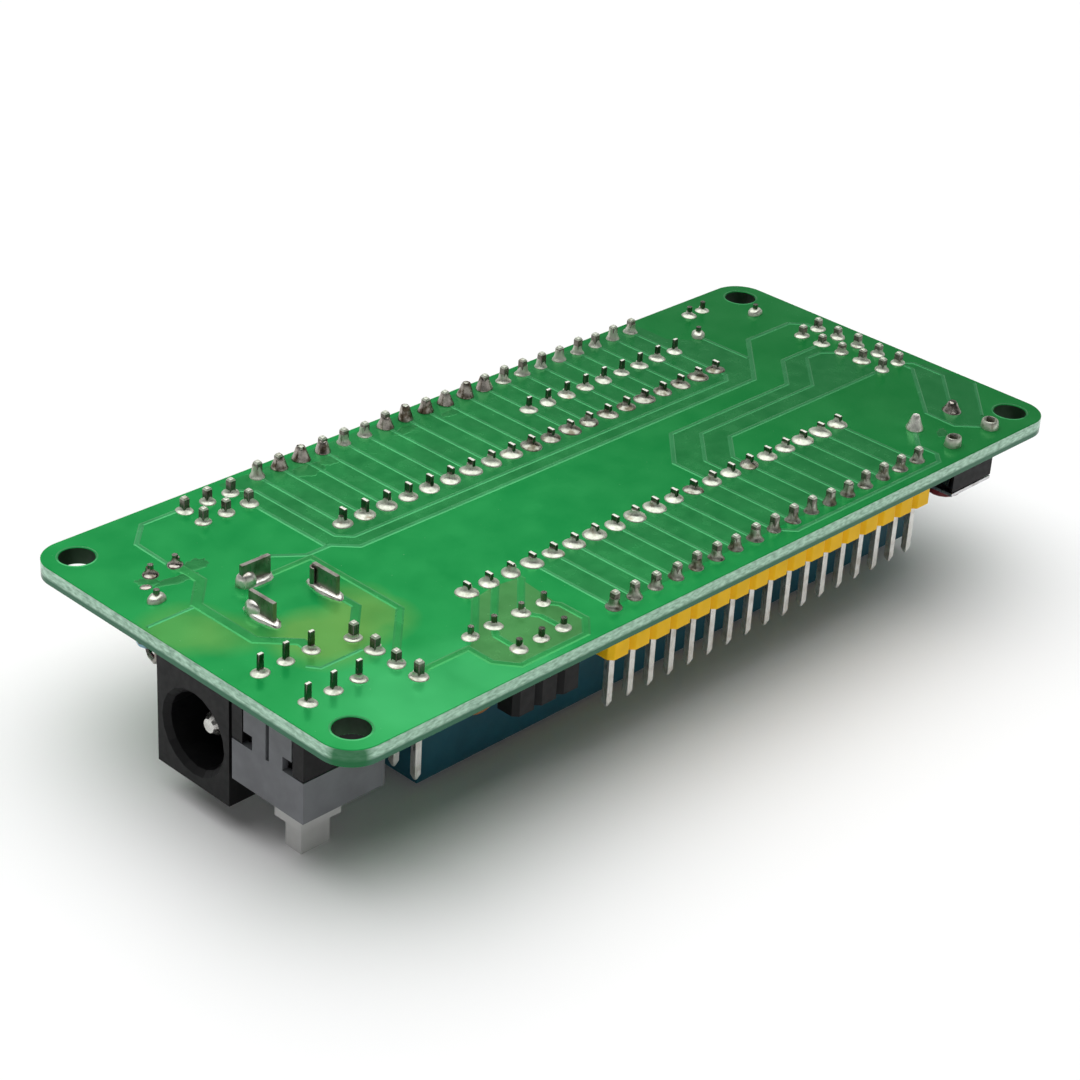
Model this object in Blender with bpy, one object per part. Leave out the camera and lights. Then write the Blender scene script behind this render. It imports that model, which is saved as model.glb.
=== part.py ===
"""Microcontroller development board with a forty-way lever socket, lying solder side up on its own parts.

Lengths are metres. Depths named with h are measured from the component face, which looks down (-Z).
"""
import math

import bmesh
import bpy
from mathutils import Matrix, Vector

for stale in list(bpy.data.objects):
    bpy.data.objects.remove(stale, do_unlink=True)

# Lead grid and running clearances
PITCH = 0.00254
MERGE = 0.000001
SEAT_GAP = 0.0003
SLIDE_GAP = 0.0002
FIT_GAP = 0.00015
LEAD_GAP = 0.0002

# Plan of the board, as a chain of sizes along each side
JACK_SETBACK = 0.0011
JACK_LENGTH = 0.0142
JACK_TO_SOCKET = 0.0011
SOCKET_WAYS = 20
SOCKET_PLAIN_END = 0.00715
SOCKET_CAM_END = 0.01019
SOCKET_TO_ISP = 0.00148
ISP_TO_EDGE = 0.00144
NEAR_MARGIN = 0.00118
NEAR_AISLE = 0.00588
SOCKET_ROW_GAP = 0.01524
SOCKET_SIDE = 0.00225
FAR_AISLE = 0.00779
FAR_MARGIN = 0.00033
BOARD_THICK = 0.0016
BOARD_CORNER = 0.003
MOUNT_HOLE = 0.0031
MOUNT_INSET = 0.003

# Lever socket
BASE_INSET_X = 0.0006
BASE_INSET_Y = 0.0003
BASE_DEPTH = 0.0074
COVER_DEPTH = 0.0129
COVER_TROUGH_WIDTH = 0.0066
COVER_TROUGH_DEPTH = 0.0006
COVER_SLIDE = 0.0006
SLOT_X = 0.0019
SLOT_Y = 0.0024
BLADE_THICK = 0.0003
TAIL_WIDTH = 0.0006
LEAF_WIDTH = 0.0016
LEAF_DEPTH = 0.0104
SHOULDER_DEPTH = 0.0012
TAIL_PROUD = 0.001
CAM_FROM_END = 0.0043
SHAFT_DEPTH = 0.0098
EAR_OFFSET = 0.0063
EAR_THICK = 0.0024
EAR_HALF = 0.0019
EAR_TIP = 0.0015
CAM_RADIUS = 0.0017
ROD_RADIUS = 0.0008
LEVER_OFFSET = 0.00165
LEVER_LENGTH = 0.024
LEVER_BEND = 0.0016
GRIP_LENGTH = 0.007
GRIP_WIDTH = 0.0025
GRIP_HEIGHT = 0.0036

# Pin headers
PIN_SIDE = 0.00064
PIN_DEPTH = 0.008
PIN_PROUD = 0.0015
PIN_TAPER = 0.0005
HOUSING_HEIGHT = 0.0025
HOUSING_NOTCH = 0.00045
NEAR_WAYS = 17
NEAR_FIRST = 3
FAR_WAYS = 20
ISP_OFFSET = 0.00233
ISP_ROWS = 5
POWER_TO_FAR = 0.00123
POWER_DROP = 0.0009
POWER_COLUMNS = 3
SERIAL_WAYS = 4
SERIAL_TO_SWITCH = 0.00083
SERIAL_TO_JACK = 0.00123

# Power jack
JACK_OFFSET = 0.00013
JACK_WIDTH = 0.009
JACK_HEIGHT = 0.0108
JACK_FLANGE = 0.0032
JACK_REAR_STEP = 0.00015
JACK_AXIS = 0.00635
JACK_BORE = 0.0068
JACK_BORE_DEPTH = 0.0095
JACK_MOUTH = 0.0005
JACK_PIN = 0.0021
JACK_PIN_RECESS = 0.0016
JACK_PIN_TAIL = 0.0011
JACK_BLADE = 0.003
JACK_STRIP = 0.0004
JACK_PROUD = 0.002
JACK_SLEEVE_AT = 0.0072
JACK_SIDE_AT = 0.0105
JACK_SIDE_OUT = 0.00036
JACK_LEAF_REACH = 0.0048
JACK_LEAF_BOW = 0.0011

# Push-on push-off power switch
SWITCH_SIDE = 0.0085
SWITCH_SETBACK = 0.00115
SWITCH_SPLIT = 0.0044
SWITCH_TOP = 0.0082
SWITCH_PLATE = 0.0008
SWITCH_WALL = 0.0007
SWITCH_FLOOR = 0.0012
SWITCH_ARM_WIDTH = 0.0057
SWITCH_ARM_THICK = 0.0006
SWITCH_ARM_END = 0.0007
SWITCH_ARM_SEAM = 0.0004
SWITCH_NECK_CUT = 0.00105
SWITCH_NECK_HEIGHT = 0.0013
SWITCH_REACH = 0.0141
SWITCH_TRAVEL = 0.002
STEM_X = 0.003
STEM_Y = 0.0019
FLANGE_X = 0.0042
FLANGE_Y = 0.0032
FLANGE_THICK = 0.0008
CARRIAGE_X = 0.004
CARRIAGE_Y = 0.0036
CARRIAGE_HEIGHT = 0.003
SPRING_POCKET = 0.003
SPRING_POCKET_DEPTH = 0.0022
SPRING_RADIUS = 0.001
SPRING_WIRE = 0.00035
SPRING_TURNS = 4.5
SWITCH_PIN_X = 0.0026
SWITCH_PIN_Y = 0.0028
SWITCH_PIN_WIDTH = 0.0005
SWITCH_PIN_THICK = 0.0003
SWITCH_PIN_DEPTH = 0.0034
CLIP_THICK = 0.0003
CLIP_HEIGHT = 0.0012
CLIP_LENGTH = 0.0034
CLIP_RAISE = 0.0004

# Reset switch
RESET_FROM_RIGHT = 0.01015
RESET_FROM_NEAR = 0.0045
RESET_SIDE = 0.006
RESET_HEIGHT = 0.0031
RESET_PLATE = 0.0003
RESET_POCKET = 0.0046
RESET_FLOOR = 0.0012
RESET_HOLE = 0.0038
RESET_FLANGE = 0.0042
RESET_FLANGE_THICK = 0.0007
RESET_STEM = 0.0034
RESET_REACH = 0.005
RESET_LEG_X = 0.0029
RESET_LEG_Y = 0.00222
RESET_LEG_WIDTH = 0.0007
RESET_LEG_THICK = 0.0003
RESET_LEG_DEPTH = 0.0026
DOME_RADIUS = 0.0019
DOME_RISE = 0.0004
DOME_THICK = 0.00012

# Crystal socket and its two capacitors
CRYSTAL_TO_HEADER = 0.00299
CRYSTAL_WAYS = 3
CRYSTAL_Y_SHIFT = 0.00035
CRYSTAL_WIDTH = 0.0025
CRYSTAL_HEIGHT = 0.0035
CRYSTAL_SLEEVE = 0.0015
CRYSTAL_BORE = 0.0008
CRYSTAL_BORE_DEPTH = 0.0025
LOAD_SPREAD = 0.00285
LOAD_LEAD_PITCH = 0.0026
LOAD_DISC = 0.005
LOAD_THICK = 0.0024
LOAD_CENTRE = 0.0036

# Resistors, resistor network, capacitor and lamp
WIRE_LEAD = 0.00055
WIRE_PROUD = 0.001
NETWORK_FIRST = 11
NETWORK_LEADS = 9
NETWORK_TO_SOCKET = 0.00186
NETWORK_THICK = 0.0025
NETWORK_HEIGHT = 0.005
NETWORK_END = 0.0013
NETWORK_LEAD_WIDTH = 0.0005
NETWORK_LEAD_THICK = 0.0003
RESISTOR_LENGTH = 0.0034
RESISTOR_END = 0.0009
RESISTOR_WAIST = 0.00076
RESISTOR_LYING = 0.0013
RESET_RESISTOR_FROM_FAR = 0.00655
RESET_RESISTOR_FROM_RIGHT = 0.0092
RESET_RESISTOR_SPAN = 0.00871
CAN_FROM_RIGHT = 0.0096
CAN_FROM_FAR = 0.0027
CAN_RADIUS = 0.0025
CAN_HEIGHT = 0.011
CAN_WALL = 0.0003
CAN_GROOVE = 0.00035
CAN_LEAD_PITCH = 0.002
SEAL_DEPTH = 0.0015
LAMP_FROM_LEFT = 0.007
LAMP_FROM_FAR = 0.0093
LAMP_RADIUS = 0.0015
LAMP_FLANGE = 0.0019
LAMP_FLANGE_THICK = 0.001
LAMP_HEIGHT = 0.0053
LAMP_STAND = 0.001
UPRIGHT_FROM_LAMP_X = 0.0028
UPRIGHT_FROM_LAMP_Y = 0.00135
UPRIGHT_RETURN_DX = 0.0006
UPRIGHT_RETURN_DY = 0.00215
UPRIGHT_STAND = 0.0004
UPRIGHT_LOOP = 0.0007

# Solder fillets, part of the board's copper and tin
FILLET_SIDES = 5
FILLET_HEIGHT = 0.0009
PIN_LEAD_HOLE = 0.00062
PIN_FILLET = 0.0009
BLADE_LEAD_HOLE = 0.0005
BLADE_FILLET = 0.00095
WIRE_LEAD_HOLE = 0.00048
WIRE_FILLET = 0.0007
SLOT_FILLET = 0.0006
SLOT_FILLET_HEIGHT = 0.0007

# Derived positions
SOCKET_LENGTH = (SOCKET_WAYS - 1) * PITCH + SOCKET_PLAIN_END + SOCKET_CAM_END
SOCKET_WIDTH = SOCKET_ROW_GAP + 2 * SOCKET_SIDE
JACK_SPAN = JACK_SETBACK + JACK_LENGTH + JACK_TO_SOCKET
BOARD_LENGTH = JACK_SPAN + SOCKET_LENGTH + SOCKET_TO_ISP + 2 * PITCH + ISP_TO_EDGE
BOARD_WIDTH = NEAR_MARGIN + PITCH + NEAR_AISLE + SOCKET_WIDTH + FAR_AISLE + PITCH + FAR_MARGIN
LEFT = -BOARD_LENGTH / 2
RIGHT = BOARD_LENGTH / 2
NEAR = -BOARD_WIDTH / 2
FAR = BOARD_WIDTH / 2
COMPONENT_Z = SWITCH_REACH
SOLDER_Z = COMPONENT_Z + BOARD_THICK
SOCKET_X0 = LEFT + JACK_SPAN
SOCKET_X1 = SOCKET_X0 + SOCKET_LENGTH
SOCKET_Y0 = NEAR + NEAR_MARGIN + PITCH + NEAR_AISLE
SOCKET_Y1 = SOCKET_Y0 + SOCKET_WIDTH
SOCKET_Y = (SOCKET_Y0 + SOCKET_Y1) / 2
ROW_X0 = SOCKET_X0 + SOCKET_PLAIN_END
CAM_X = SOCKET_X1 - CAM_FROM_END
LEVER_Y = SOCKET_Y1 + LEVER_OFFSET
NEAR_HEADER_Y = NEAR + NEAR_MARGIN + PITCH / 2
FAR_HEADER_Y = FAR - FAR_MARGIN - PITCH / 2
NEAR_HEADER_X = ROW_X0 + NEAR_FIRST * PITCH
ISP_X = SOCKET_X1 + SOCKET_TO_ISP + PITCH / 2
ISP_Y = SOCKET_Y + ISP_OFFSET
JACK_X0 = LEFT + JACK_SETBACK
JACK_X1 = JACK_X0 + JACK_LENGTH
JACK_Y = SOCKET_Y + JACK_OFFSET
JACK_NEAR = JACK_Y - JACK_WIDTH / 2
SWITCH_X = LEFT + SWITCH_SETBACK + SWITCH_SIDE / 2
SWITCH_Y = JACK_NEAR - SEAT_GAP - SWITCH_SIDE / 2
SERIAL_X = SWITCH_X + SWITCH_SIDE / 2 + SERIAL_TO_SWITCH + PITCH / 2
SERIAL_Y = JACK_NEAR - SERIAL_TO_JACK - PITCH / 2
POWER_X = ROW_X0 - PITCH / 2 - POWER_TO_FAR - PITCH / 2
POWER_Y = FAR_HEADER_Y - POWER_DROP
CRYSTAL_X = NEAR_HEADER_X - PITCH / 2 - CRYSTAL_TO_HEADER - CRYSTAL_WAYS * PITCH / 2
CRYSTAL_Y = NEAR_HEADER_Y + CRYSTAL_Y_SHIFT
LOAD_Y = (NEAR_HEADER_Y + PITCH / 2 + SOCKET_Y0) / 2
RESET_X = RIGHT - RESET_FROM_RIGHT
RESET_Y = NEAR + RESET_FROM_NEAR
NETWORK_Y = SOCKET_Y1 + NETWORK_TO_SOCKET + NETWORK_THICK / 2
RESET_RESISTOR_X = RIGHT - RESET_RESISTOR_FROM_RIGHT
RESET_RESISTOR_Y = FAR - RESET_RESISTOR_FROM_FAR
CAN_X = RIGHT - CAN_FROM_RIGHT
CAN_Y = FAR - CAN_FROM_FAR
LAMP_X = LEFT + LAMP_FROM_LEFT
LAMP_Y = FAR - LAMP_FROM_FAR
UPRIGHT_X = LAMP_X - UPRIGHT_FROM_LAMP_X
UPRIGHT_Y = LAMP_Y - UPRIGHT_FROM_LAMP_Y

PARTS = bpy.data.collections.new("microcontroller_board")
TOOLS = bpy.data.collections.new("cutters")
bpy.context.scene.collection.children.link(PARTS)
bpy.context.scene.collection.children.link(TOOLS)

# Turns a flat outline drawn in XY, and its height, to stand along X or along -Y
ALONG_X = Matrix(((0, 0, 1, 0), (1, 0, 0, 0), (0, 1, 0, 0), (0, 0, 0, 1)))
ALONG_Y = Matrix.Rotation(math.pi / 2, 4, "X")


def material(name, colour, roughness, metallic=0.0):
    """Plain Principled material."""
    made = bpy.data.materials.new(name)
    made.use_nodes = True
    shader = made.node_tree.nodes["Principled BSDF"]
    shader.inputs["Base Color"].default_value = (*colour, 1.0)
    shader.inputs["Roughness"].default_value = roughness
    shader.inputs["Metallic"].default_value = metallic
    return made


LAMINATE = material("laminate", (0.018, 0.28, 0.075), 0.4)
TIN = material("tin", (0.66, 0.67, 0.68), 0.3, 1.0)
PLATED = material("plated", (0.75, 0.7, 0.55), 0.3, 1.0)
STEEL = material("steel", (0.6, 0.6, 0.6), 0.35, 1.0)
TEAL = material("teal_plastic", (0.01, 0.05, 0.065), 0.45)
BLACK = material("black_plastic", (0.015, 0.015, 0.016), 0.45)
YELLOW = material("yellow_plastic", (0.67, 0.4, 0.028), 0.4)
GREY = material("grey_plastic", (0.3, 0.31, 0.32), 0.45)
WHITE = material("white_plastic", (0.78, 0.78, 0.76), 0.4)
MAROON = material("maroon_plastic", (0.13, 0.018, 0.02), 0.4)
CERAMIC = material("ceramic", (0.5, 0.2, 0.05), 0.5)
LACQUER = material("lacquer", (0.16, 0.38, 0.55), 0.45)
SLEEVE = material("can_sleeve", (0.02, 0.022, 0.03), 0.35)
RUBBER = material("rubber", (0.03, 0.03, 0.03), 0.7)
RED_LENS = material("red_lens", (0.5, 0.02, 0.02), 0.2)
CUTTER = material("cutter", (0.8, 0.2, 0.8), 0.5)


def z_at(depth):
    """Height of a depth below the component face."""
    return COMPONENT_Z - depth


def row(first, step, count):
    """Evenly spaced values."""
    return [first + step * i for i in range(count)]


def at(x, y, z):
    """Translation matrix."""
    return Matrix.Translation((x, y, z))


def finish(bm, name, stuff, origin=(0, 0, 0), smooth=False, group=PARTS):
    """Turns a bmesh into a named object whose origin is the given point."""
    bmesh.ops.recalc_face_normals(bm, faces=bm.faces)
    bmesh.ops.translate(bm, vec=-Vector(origin), verts=bm.verts)
    mesh = bpy.data.meshes.new(name)
    bm.to_mesh(mesh)
    bm.free()
    mesh.materials.append(stuff)
    if smooth:
        mesh.shade_smooth()
        mesh.set_sharp_from_angle(angle=math.radians(40))
    made = bpy.data.objects.new(name, mesh)
    made.location = origin
    group.objects.link(made)
    return made


def combine(target, bm, operation):
    """Adds an exact Boolean step with its own hidden tool, drawn in the target's coordinates."""
    tool = finish(bm, f"{target.name}_{operation.lower()}_{len(target.modifiers)}", CUTTER, group=TOOLS)
    tool.hide_render = True
    tool.display_type = "WIRE"
    step = target.modifiers.new(operation.lower(), "BOOLEAN")
    step.operation = operation
    step.solver = "EXACT"
    step.object = tool


def place(bm, mesh, where):
    """Adds a copy of a mesh to a bmesh."""
    first = len(bm.verts)
    bm.from_mesh(mesh)
    bm.verts.ensure_lookup_table()
    bmesh.ops.transform(bm, matrix=where, verts=bm.verts[first:])


def block(bm, x0, x1, y0, y1, z0, z1):
    """Adds a box between two corners."""
    middle = at((x0 + x1) / 2, (y0 + y1) / 2, (z0 + z1) / 2)
    bmesh.ops.create_cube(bm, size=1, matrix=middle @ Matrix.Diagonal((x1 - x0, y1 - y0, z1 - z0, 1)))


def centred(bm, x, y, size_x, size_y, z0, z1):
    """Adds a box centred on a point of the plan."""
    block(bm, x - size_x / 2, x + size_x / 2, y - size_y / 2, y + size_y / 2, z0, z1)


def from_curve(curve):
    """Mesh of a curve with its caps welded on."""
    maker = bpy.data.objects.new("maker", curve)
    bpy.context.scene.collection.objects.link(maker)
    graph = bpy.context.evaluated_depsgraph_get()
    mesh = bpy.data.meshes.new_from_object(maker.evaluated_get(graph))
    bpy.data.objects.remove(maker)
    bm = bmesh.new()
    bm.from_mesh(mesh)
    return mesh, bm


def drawn(outlines, height, fill):
    """Mesh of flat outlines, later ones as holes, drawn enlarged because the curve's fill is coarse."""
    enlarge = 1000
    curve = bpy.data.curves.new("outline", "CURVE")
    curve.dimensions = "2D"
    curve.fill_mode = fill
    curve.extrude = height * enlarge / 2
    for outline in outlines:
        spline = curve.splines.new("POLY")
        spline.points.add(len(outline) - 1)
        for point, (u, v) in zip(spline.points, outline):
            point.co = (u * enlarge, v * enlarge, 0, 1)
        spline.use_cyclic_u = True
    mesh, bm = from_curve(curve)
    bmesh.ops.remove_doubles(bm, verts=bm.verts, dist=MERGE * enlarge)
    if len(outlines) == 1 and fill == "BOTH":
        for side in (-1, 1):
            cap = [face for face in bm.faces if all(v.co.z * side > 0 for v in face.verts)]
            bmesh.ops.dissolve_faces(bm, faces=cap)
    bmesh.ops.scale(bm, vec=(1 / enlarge, 1 / enlarge, 1 / enlarge), verts=bm.verts)
    bmesh.ops.translate(bm, vec=(0, 0, height / 2), verts=bm.verts)
    bm.to_mesh(mesh)
    bm.free()
    return mesh


def prism(outlines, height):
    """Closed mesh of a flat outline with inner outlines as holes, standing on z = 0."""
    return drawn(outlines, height, "BOTH")


def collar(bm, rings):
    """Adds the open wall between rings of as many points, given from one end to the other."""
    loops = []
    for ring in rings:
        verts = [bm.verts.new(point) for point in ring]
        loops.append([bm.edges.new(pair) for pair in zip(verts, verts[1:] + verts[:1])])
    for low, high in zip(loops, loops[1:]):
        bmesh.ops.bridge_loops(bm, edges=low + high)


def wire(points, radius, resolution=1):
    """Mesh of a round wire through points."""
    curve = bpy.data.curves.new("wire", "CURVE")
    curve.dimensions = "3D"
    curve.bevel_depth = radius
    curve.bevel_resolution = resolution
    curve.use_fill_caps = True
    spline = curve.splines.new("POLY")
    spline.points.add(len(points) - 1)
    for point, place_at in zip(spline.points, points):
        point.co = (*place_at, 1)
    mesh, bm = from_curve(curve)
    bmesh.ops.remove_doubles(bm, verts=bm.verts, dist=MERGE)
    bm.to_mesh(mesh)
    bm.free()
    return mesh


def turned(profile, sides, ring=False):
    """Mesh of (radius, height) points turned about Z; a ring's profile closes on itself."""
    bm = bmesh.new()
    verts = [bm.verts.new((radius, 0, height)) for radius, height in profile]
    pairs = list(zip(verts, verts[1:]))
    if ring:
        pairs.append((verts[-1], verts[0]))
    edges = [bm.edges.new(pair) for pair in pairs]
    bmesh.ops.spin(bm, geom=verts + edges, axis=(0, 0, 1), cent=(0, 0, 0), steps=sides, angle=2 * math.pi)
    bmesh.ops.remove_doubles(bm, verts=bm.verts, dist=MERGE)
    poles = [v for v in bm.verts if math.hypot(v.co.x, v.co.y) < MERGE]
    flat = [v for v in poles if all(abs(e.other_vert(v).co.z - v.co.z) < MERGE for e in v.link_edges)]
    bmesh.ops.dissolve_verts(bm, verts=flat)
    mesh = bpy.data.meshes.new("turned")
    bm.to_mesh(mesh)
    bm.free()
    return mesh


def circle(x, y, radius, sides, turn=0.5):
    """Outline of a regular polygon, flat side first."""
    angles = [2 * math.pi * (i + turn) / sides for i in range(sides)]
    return [(x + radius * math.cos(a), y + radius * math.sin(a)) for a in angles]


def rectangle(x, y, size_x, size_y):
    """Outline of a rectangle about a point."""
    a, b = size_x / 2, size_y / 2
    return [(x - a, y - b), (x + a, y - b), (x + a, y + b), (x - a, y + b)]


def bend(centre, radius, start, end, steps):
    """Points of an arc in the plan, angles in degrees."""
    angles = [math.radians(start + (end - start) * i / steps) for i in range(steps + 1)]
    return [(centre[0] + radius * math.cos(a), centre[1] + radius * math.sin(a)) for a in angles]


def notched(values, half, notch):
    """Stations along a side with a V between ways, as (distance, depth) pairs."""
    stations = []
    for value in values:
        stations.append((value - half + notch, 0))
        stations.append((value + half - notch, 0))
        if value != values[-1]:
            stations.append((value + half, notch))
    return stations


def ways_outline(xs, ys, half_x, half_y, notch):
    """Outline of a housing with a way at every column and row, columns and rows rising."""
    along_x = notched(xs, PITCH / 2, notch)
    along_y = notched(ys, PITCH / 2, notch)
    if len(ys) == 1:
        along_y = [(ys[0] - half_y + notch, 0), (ys[0] + half_y - notch, 0)]
    x0, x1 = xs[0] - half_x, xs[-1] + half_x
    y0, y1 = ys[0] - half_y, ys[-1] + half_y
    outline = [(u, y0 + d) for u, d in along_x]
    outline += [(x1 - d, v) for v, d in along_y]
    outline += [(u, y1 - d) for u, d in reversed(along_x)]
    outline += [(x0 + d, v) for v, d in reversed(along_y)]
    return outline


# Lead positions, by piece
SOCKET_COLUMNS = row(ROW_X0, PITCH, SOCKET_WAYS)
SOCKET_ROWS = (SOCKET_Y - SOCKET_ROW_GAP / 2, SOCKET_Y + SOCKET_ROW_GAP / 2)
SOCKET_LEADS = [(x, y) for y in SOCKET_ROWS for x in SOCKET_COLUMNS]
HEADERS = {
    "near_header": (row(NEAR_HEADER_X, PITCH, NEAR_WAYS), [NEAR_HEADER_Y], YELLOW),
    "far_header": (row(ROW_X0, PITCH, FAR_WAYS), [FAR_HEADER_Y], YELLOW),
    "power_header": (row(POWER_X - (POWER_COLUMNS - 1) * PITCH, PITCH, POWER_COLUMNS),
                     row(POWER_Y - PITCH, PITCH, 2), BLACK),
    "serial_header": ([SERIAL_X], row(SERIAL_Y - (SERIAL_WAYS - 1) * PITCH, PITCH, SERIAL_WAYS), BLACK),
    "isp_header": (row(ISP_X, PITCH, 2), row(ISP_Y - (ISP_ROWS - 1) * PITCH / 2, PITCH, ISP_ROWS), BLACK),
}
HEADER_LEADS = [(x, y) for xs, ys, _ in HEADERS.values() for x in xs for y in ys]
SWITCH_COLUMNS = row(SWITCH_X - SWITCH_PIN_X, SWITCH_PIN_X, 3)
SWITCH_LEADS = [(x, SWITCH_Y + s * SWITCH_PIN_Y) for s in (-1, 1) for x in SWITCH_COLUMNS]
RESET_LEADS = [(RESET_X + a * RESET_LEG_X, RESET_Y + b * RESET_LEG_Y) for a in (-1, 1) for b in (-1, 1)]
CRYSTAL_COLUMNS = row(CRYSTAL_X - (CRYSTAL_WAYS - 1) * PITCH / 2, PITCH, CRYSTAL_WAYS)
CRYSTAL_LEADS = [(x, CRYSTAL_Y) for x in CRYSTAL_COLUMNS]
LOAD_CENTRES = {"left": CRYSTAL_X - LOAD_SPREAD, "right": CRYSTAL_X + LOAD_SPREAD}
LOAD_LEADS = [(x + s * LOAD_LEAD_PITCH / 2, LOAD_Y) for x in LOAD_CENTRES.values() for s in (-1, 1)]
NETWORK_COLUMNS = SOCKET_COLUMNS[NETWORK_FIRST:NETWORK_FIRST + NETWORK_LEADS]
NETWORK_POINTS = [(x, NETWORK_Y) for x in NETWORK_COLUMNS]
CAN_LEADS = [(CAN_X + s * CAN_LEAD_PITCH / 2, CAN_Y) for s in (-1, 1)]
LYING_LEADS = [(RESET_RESISTOR_X + s * RESET_RESISTOR_SPAN / 2, RESET_RESISTOR_Y) for s in (-1, 1)]
LAMP_LEADS = [(LAMP_X + s * PITCH / 2, LAMP_Y) for s in (-1, 1)]
UPRIGHT_LEADS = [(UPRIGHT_X, UPRIGHT_Y), (UPRIGHT_X - UPRIGHT_RETURN_DX, UPRIGHT_Y - UPRIGHT_RETURN_DY)]
JACK_SLEEVE = (JACK_X0 + JACK_SLEEVE_AT, JACK_Y)
JACK_REAR = (JACK_X1 - JACK_STRIP * 3 / 4, JACK_Y)
JACK_SIDE = (JACK_X0 + JACK_SIDE_AT, JACK_Y + JACK_WIDTH / 2 + JACK_SIDE_OUT)
JACK_SLOT_LONG = JACK_BLADE + 2 * LEAD_GAP
JACK_SLOT_SHORT = JACK_STRIP + 2 * LEAD_GAP
JACK_SLOTS = [(JACK_SLEEVE, JACK_SLOT_SHORT, JACK_SLOT_LONG),
              (JACK_REAR, JACK_SLOT_SHORT, JACK_SLOT_LONG),
              (JACK_SIDE, JACK_SLOT_LONG, JACK_SLOT_SHORT)]
PIN_LEADS = HEADER_LEADS + RESET_LEADS
BLADE_LEADS = SOCKET_LEADS + SWITCH_LEADS + NETWORK_POINTS
WIRE_LEADS = CRYSTAL_LEADS + LOAD_LEADS + CAN_LEADS + LYING_LEADS + LAMP_LEADS + UPRIGHT_LEADS
LEAD_SIZES = [(PIN_LEADS, PIN_LEAD_HOLE, PIN_FILLET), (BLADE_LEADS, BLADE_LEAD_HOLE, BLADE_FILLET),
              (WIRE_LEADS, WIRE_LEAD_HOLE, WIRE_FILLET)]


def build_board():
    """Board with rounded corners and screw holes; every lead hole rises through a cone of solder."""
    edge = []
    for sx, sy, start in ((1, 1, 0), (-1, 1, 90), (-1, -1, 180), (1, -1, 270)):
        centre = (sx * (RIGHT - BOARD_CORNER), sy * (FAR - BOARD_CORNER))
        edge += bend(centre, BOARD_CORNER, start, start + 90, 5)
    screws = [circle(sx * (RIGHT - MOUNT_INSET), sy * (FAR - MOUNT_INSET), MOUNT_HOLE / 2, 16)
              for sx in (-1, 1) for sy in (-1, 1)]
    joints = []
    for leads, inner, outer in LEAD_SIZES:
        joints += [(circle(x, y, inner, FILLET_SIDES, 0), circle(x, y, outer, FILLET_SIDES, 0), FILLET_HEIGHT)
                   for x, y in leads]
    for (x, y), along, across in JACK_SLOTS:
        wide = rectangle(x, y, along + 2 * SLOT_FILLET, across + 2 * SLOT_FILLET)
        joints.append((rectangle(x, y, along, across), wide, SLOT_FILLET_HEIGHT))
    bm = bmesh.new()
    place(bm, drawn([edge] + screws + [outer for _, outer, _ in joints], 0, "BOTH"), at(0, 0, SOLDER_Z))
    place(bm, drawn([edge] + screws + [inner for inner, _, _ in joints], 0, "BOTH"), at(0, 0, COMPONENT_Z))
    place(bm, drawn([edge] + screws, BOARD_THICK, "NONE"), at(0, 0, COMPONENT_Z))
    for inner, outer, height in joints:
        collar(bm, [[(u, v, SOLDER_Z) for u, v in outer], [(u, v, SOLDER_Z + height) for u, v in inner],
                    [(u, v, COMPONENT_Z) for u, v in inner]])
    bmesh.ops.remove_doubles(bm, verts=bm.verts, dist=MERGE)
    finish(bm, "circuit_board", LAMINATE)


def build_socket_base():
    """Fixed half of the lever socket, with its forty contacts and two ears that carry the lever's shaft."""
    middle = (SOCKET_X0 + SOCKET_X1) / 2
    outer = rectangle(middle, SOCKET_Y, SOCKET_LENGTH - 2 * BASE_INSET_X, SOCKET_WIDTH - 2 * BASE_INSET_Y)
    bm = bmesh.new()
    place(bm, prism([outer], BASE_DEPTH - SEAT_GAP), at(0, 0, z_at(BASE_DEPTH)))
    base = finish(bm, "zif_base", TEAL)
    # Room for the cam, where its shaft lies so close that the sleeve reaches into the base
    bm = bmesh.new()
    bed = SHAFT_DEPTH - CAM_RADIUS - COVER_SLIDE / 2 - SEAT_GAP
    centred(bm, CAM_X, SOCKET_Y, 2 * (CAM_RADIUS + COVER_SLIDE), 2 * EAR_OFFSET - EAR_THICK,
            z_at(SHAFT_DEPTH), z_at(bed))
    combine(base, bm, "DIFFERENCE")
    tail, leaf = TAIL_WIDTH / 2, LEAF_WIDTH / 2
    top, shoulder, end = SOLDER_Z + TAIL_PROUD, z_at(SHOULDER_DEPTH), z_at(LEAF_DEPTH)
    outline = [(-tail, top), (-tail, shoulder), (-leaf, end), (leaf, end), (tail, shoulder), (tail, top)]
    blank = prism([outline], BLADE_THICK)
    bm = bmesh.new()
    for x, y in SOCKET_LEADS:
        place(bm, blank, at(x - BLADE_THICK / 2, y, 0) @ ALONG_X)
    foot, tip, shaft = z_at(BASE_DEPTH) + SEAT_GAP, z_at(SHAFT_DEPTH) - EAR_TIP, z_at(SHAFT_DEPTH)
    outline = [(CAM_X - EAR_HALF, foot), (CAM_X - EAR_HALF, shaft), (CAM_X - EAR_HALF / 2, tip),
               (CAM_X + EAR_HALF / 2, tip), (CAM_X + EAR_HALF, shaft), (CAM_X + EAR_HALF, foot)]
    hole = circle(CAM_X, shaft, ROD_RADIUS + SLIDE_GAP, 12)
    ear = prism([outline, hole], EAR_THICK)
    for side in (-1, 1):
        place(bm, ear, at(0, SOCKET_Y + side * EAR_OFFSET + EAR_THICK / 2, 0) @ ALONG_Y)
    combine(base, bm, "UNION")


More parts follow.
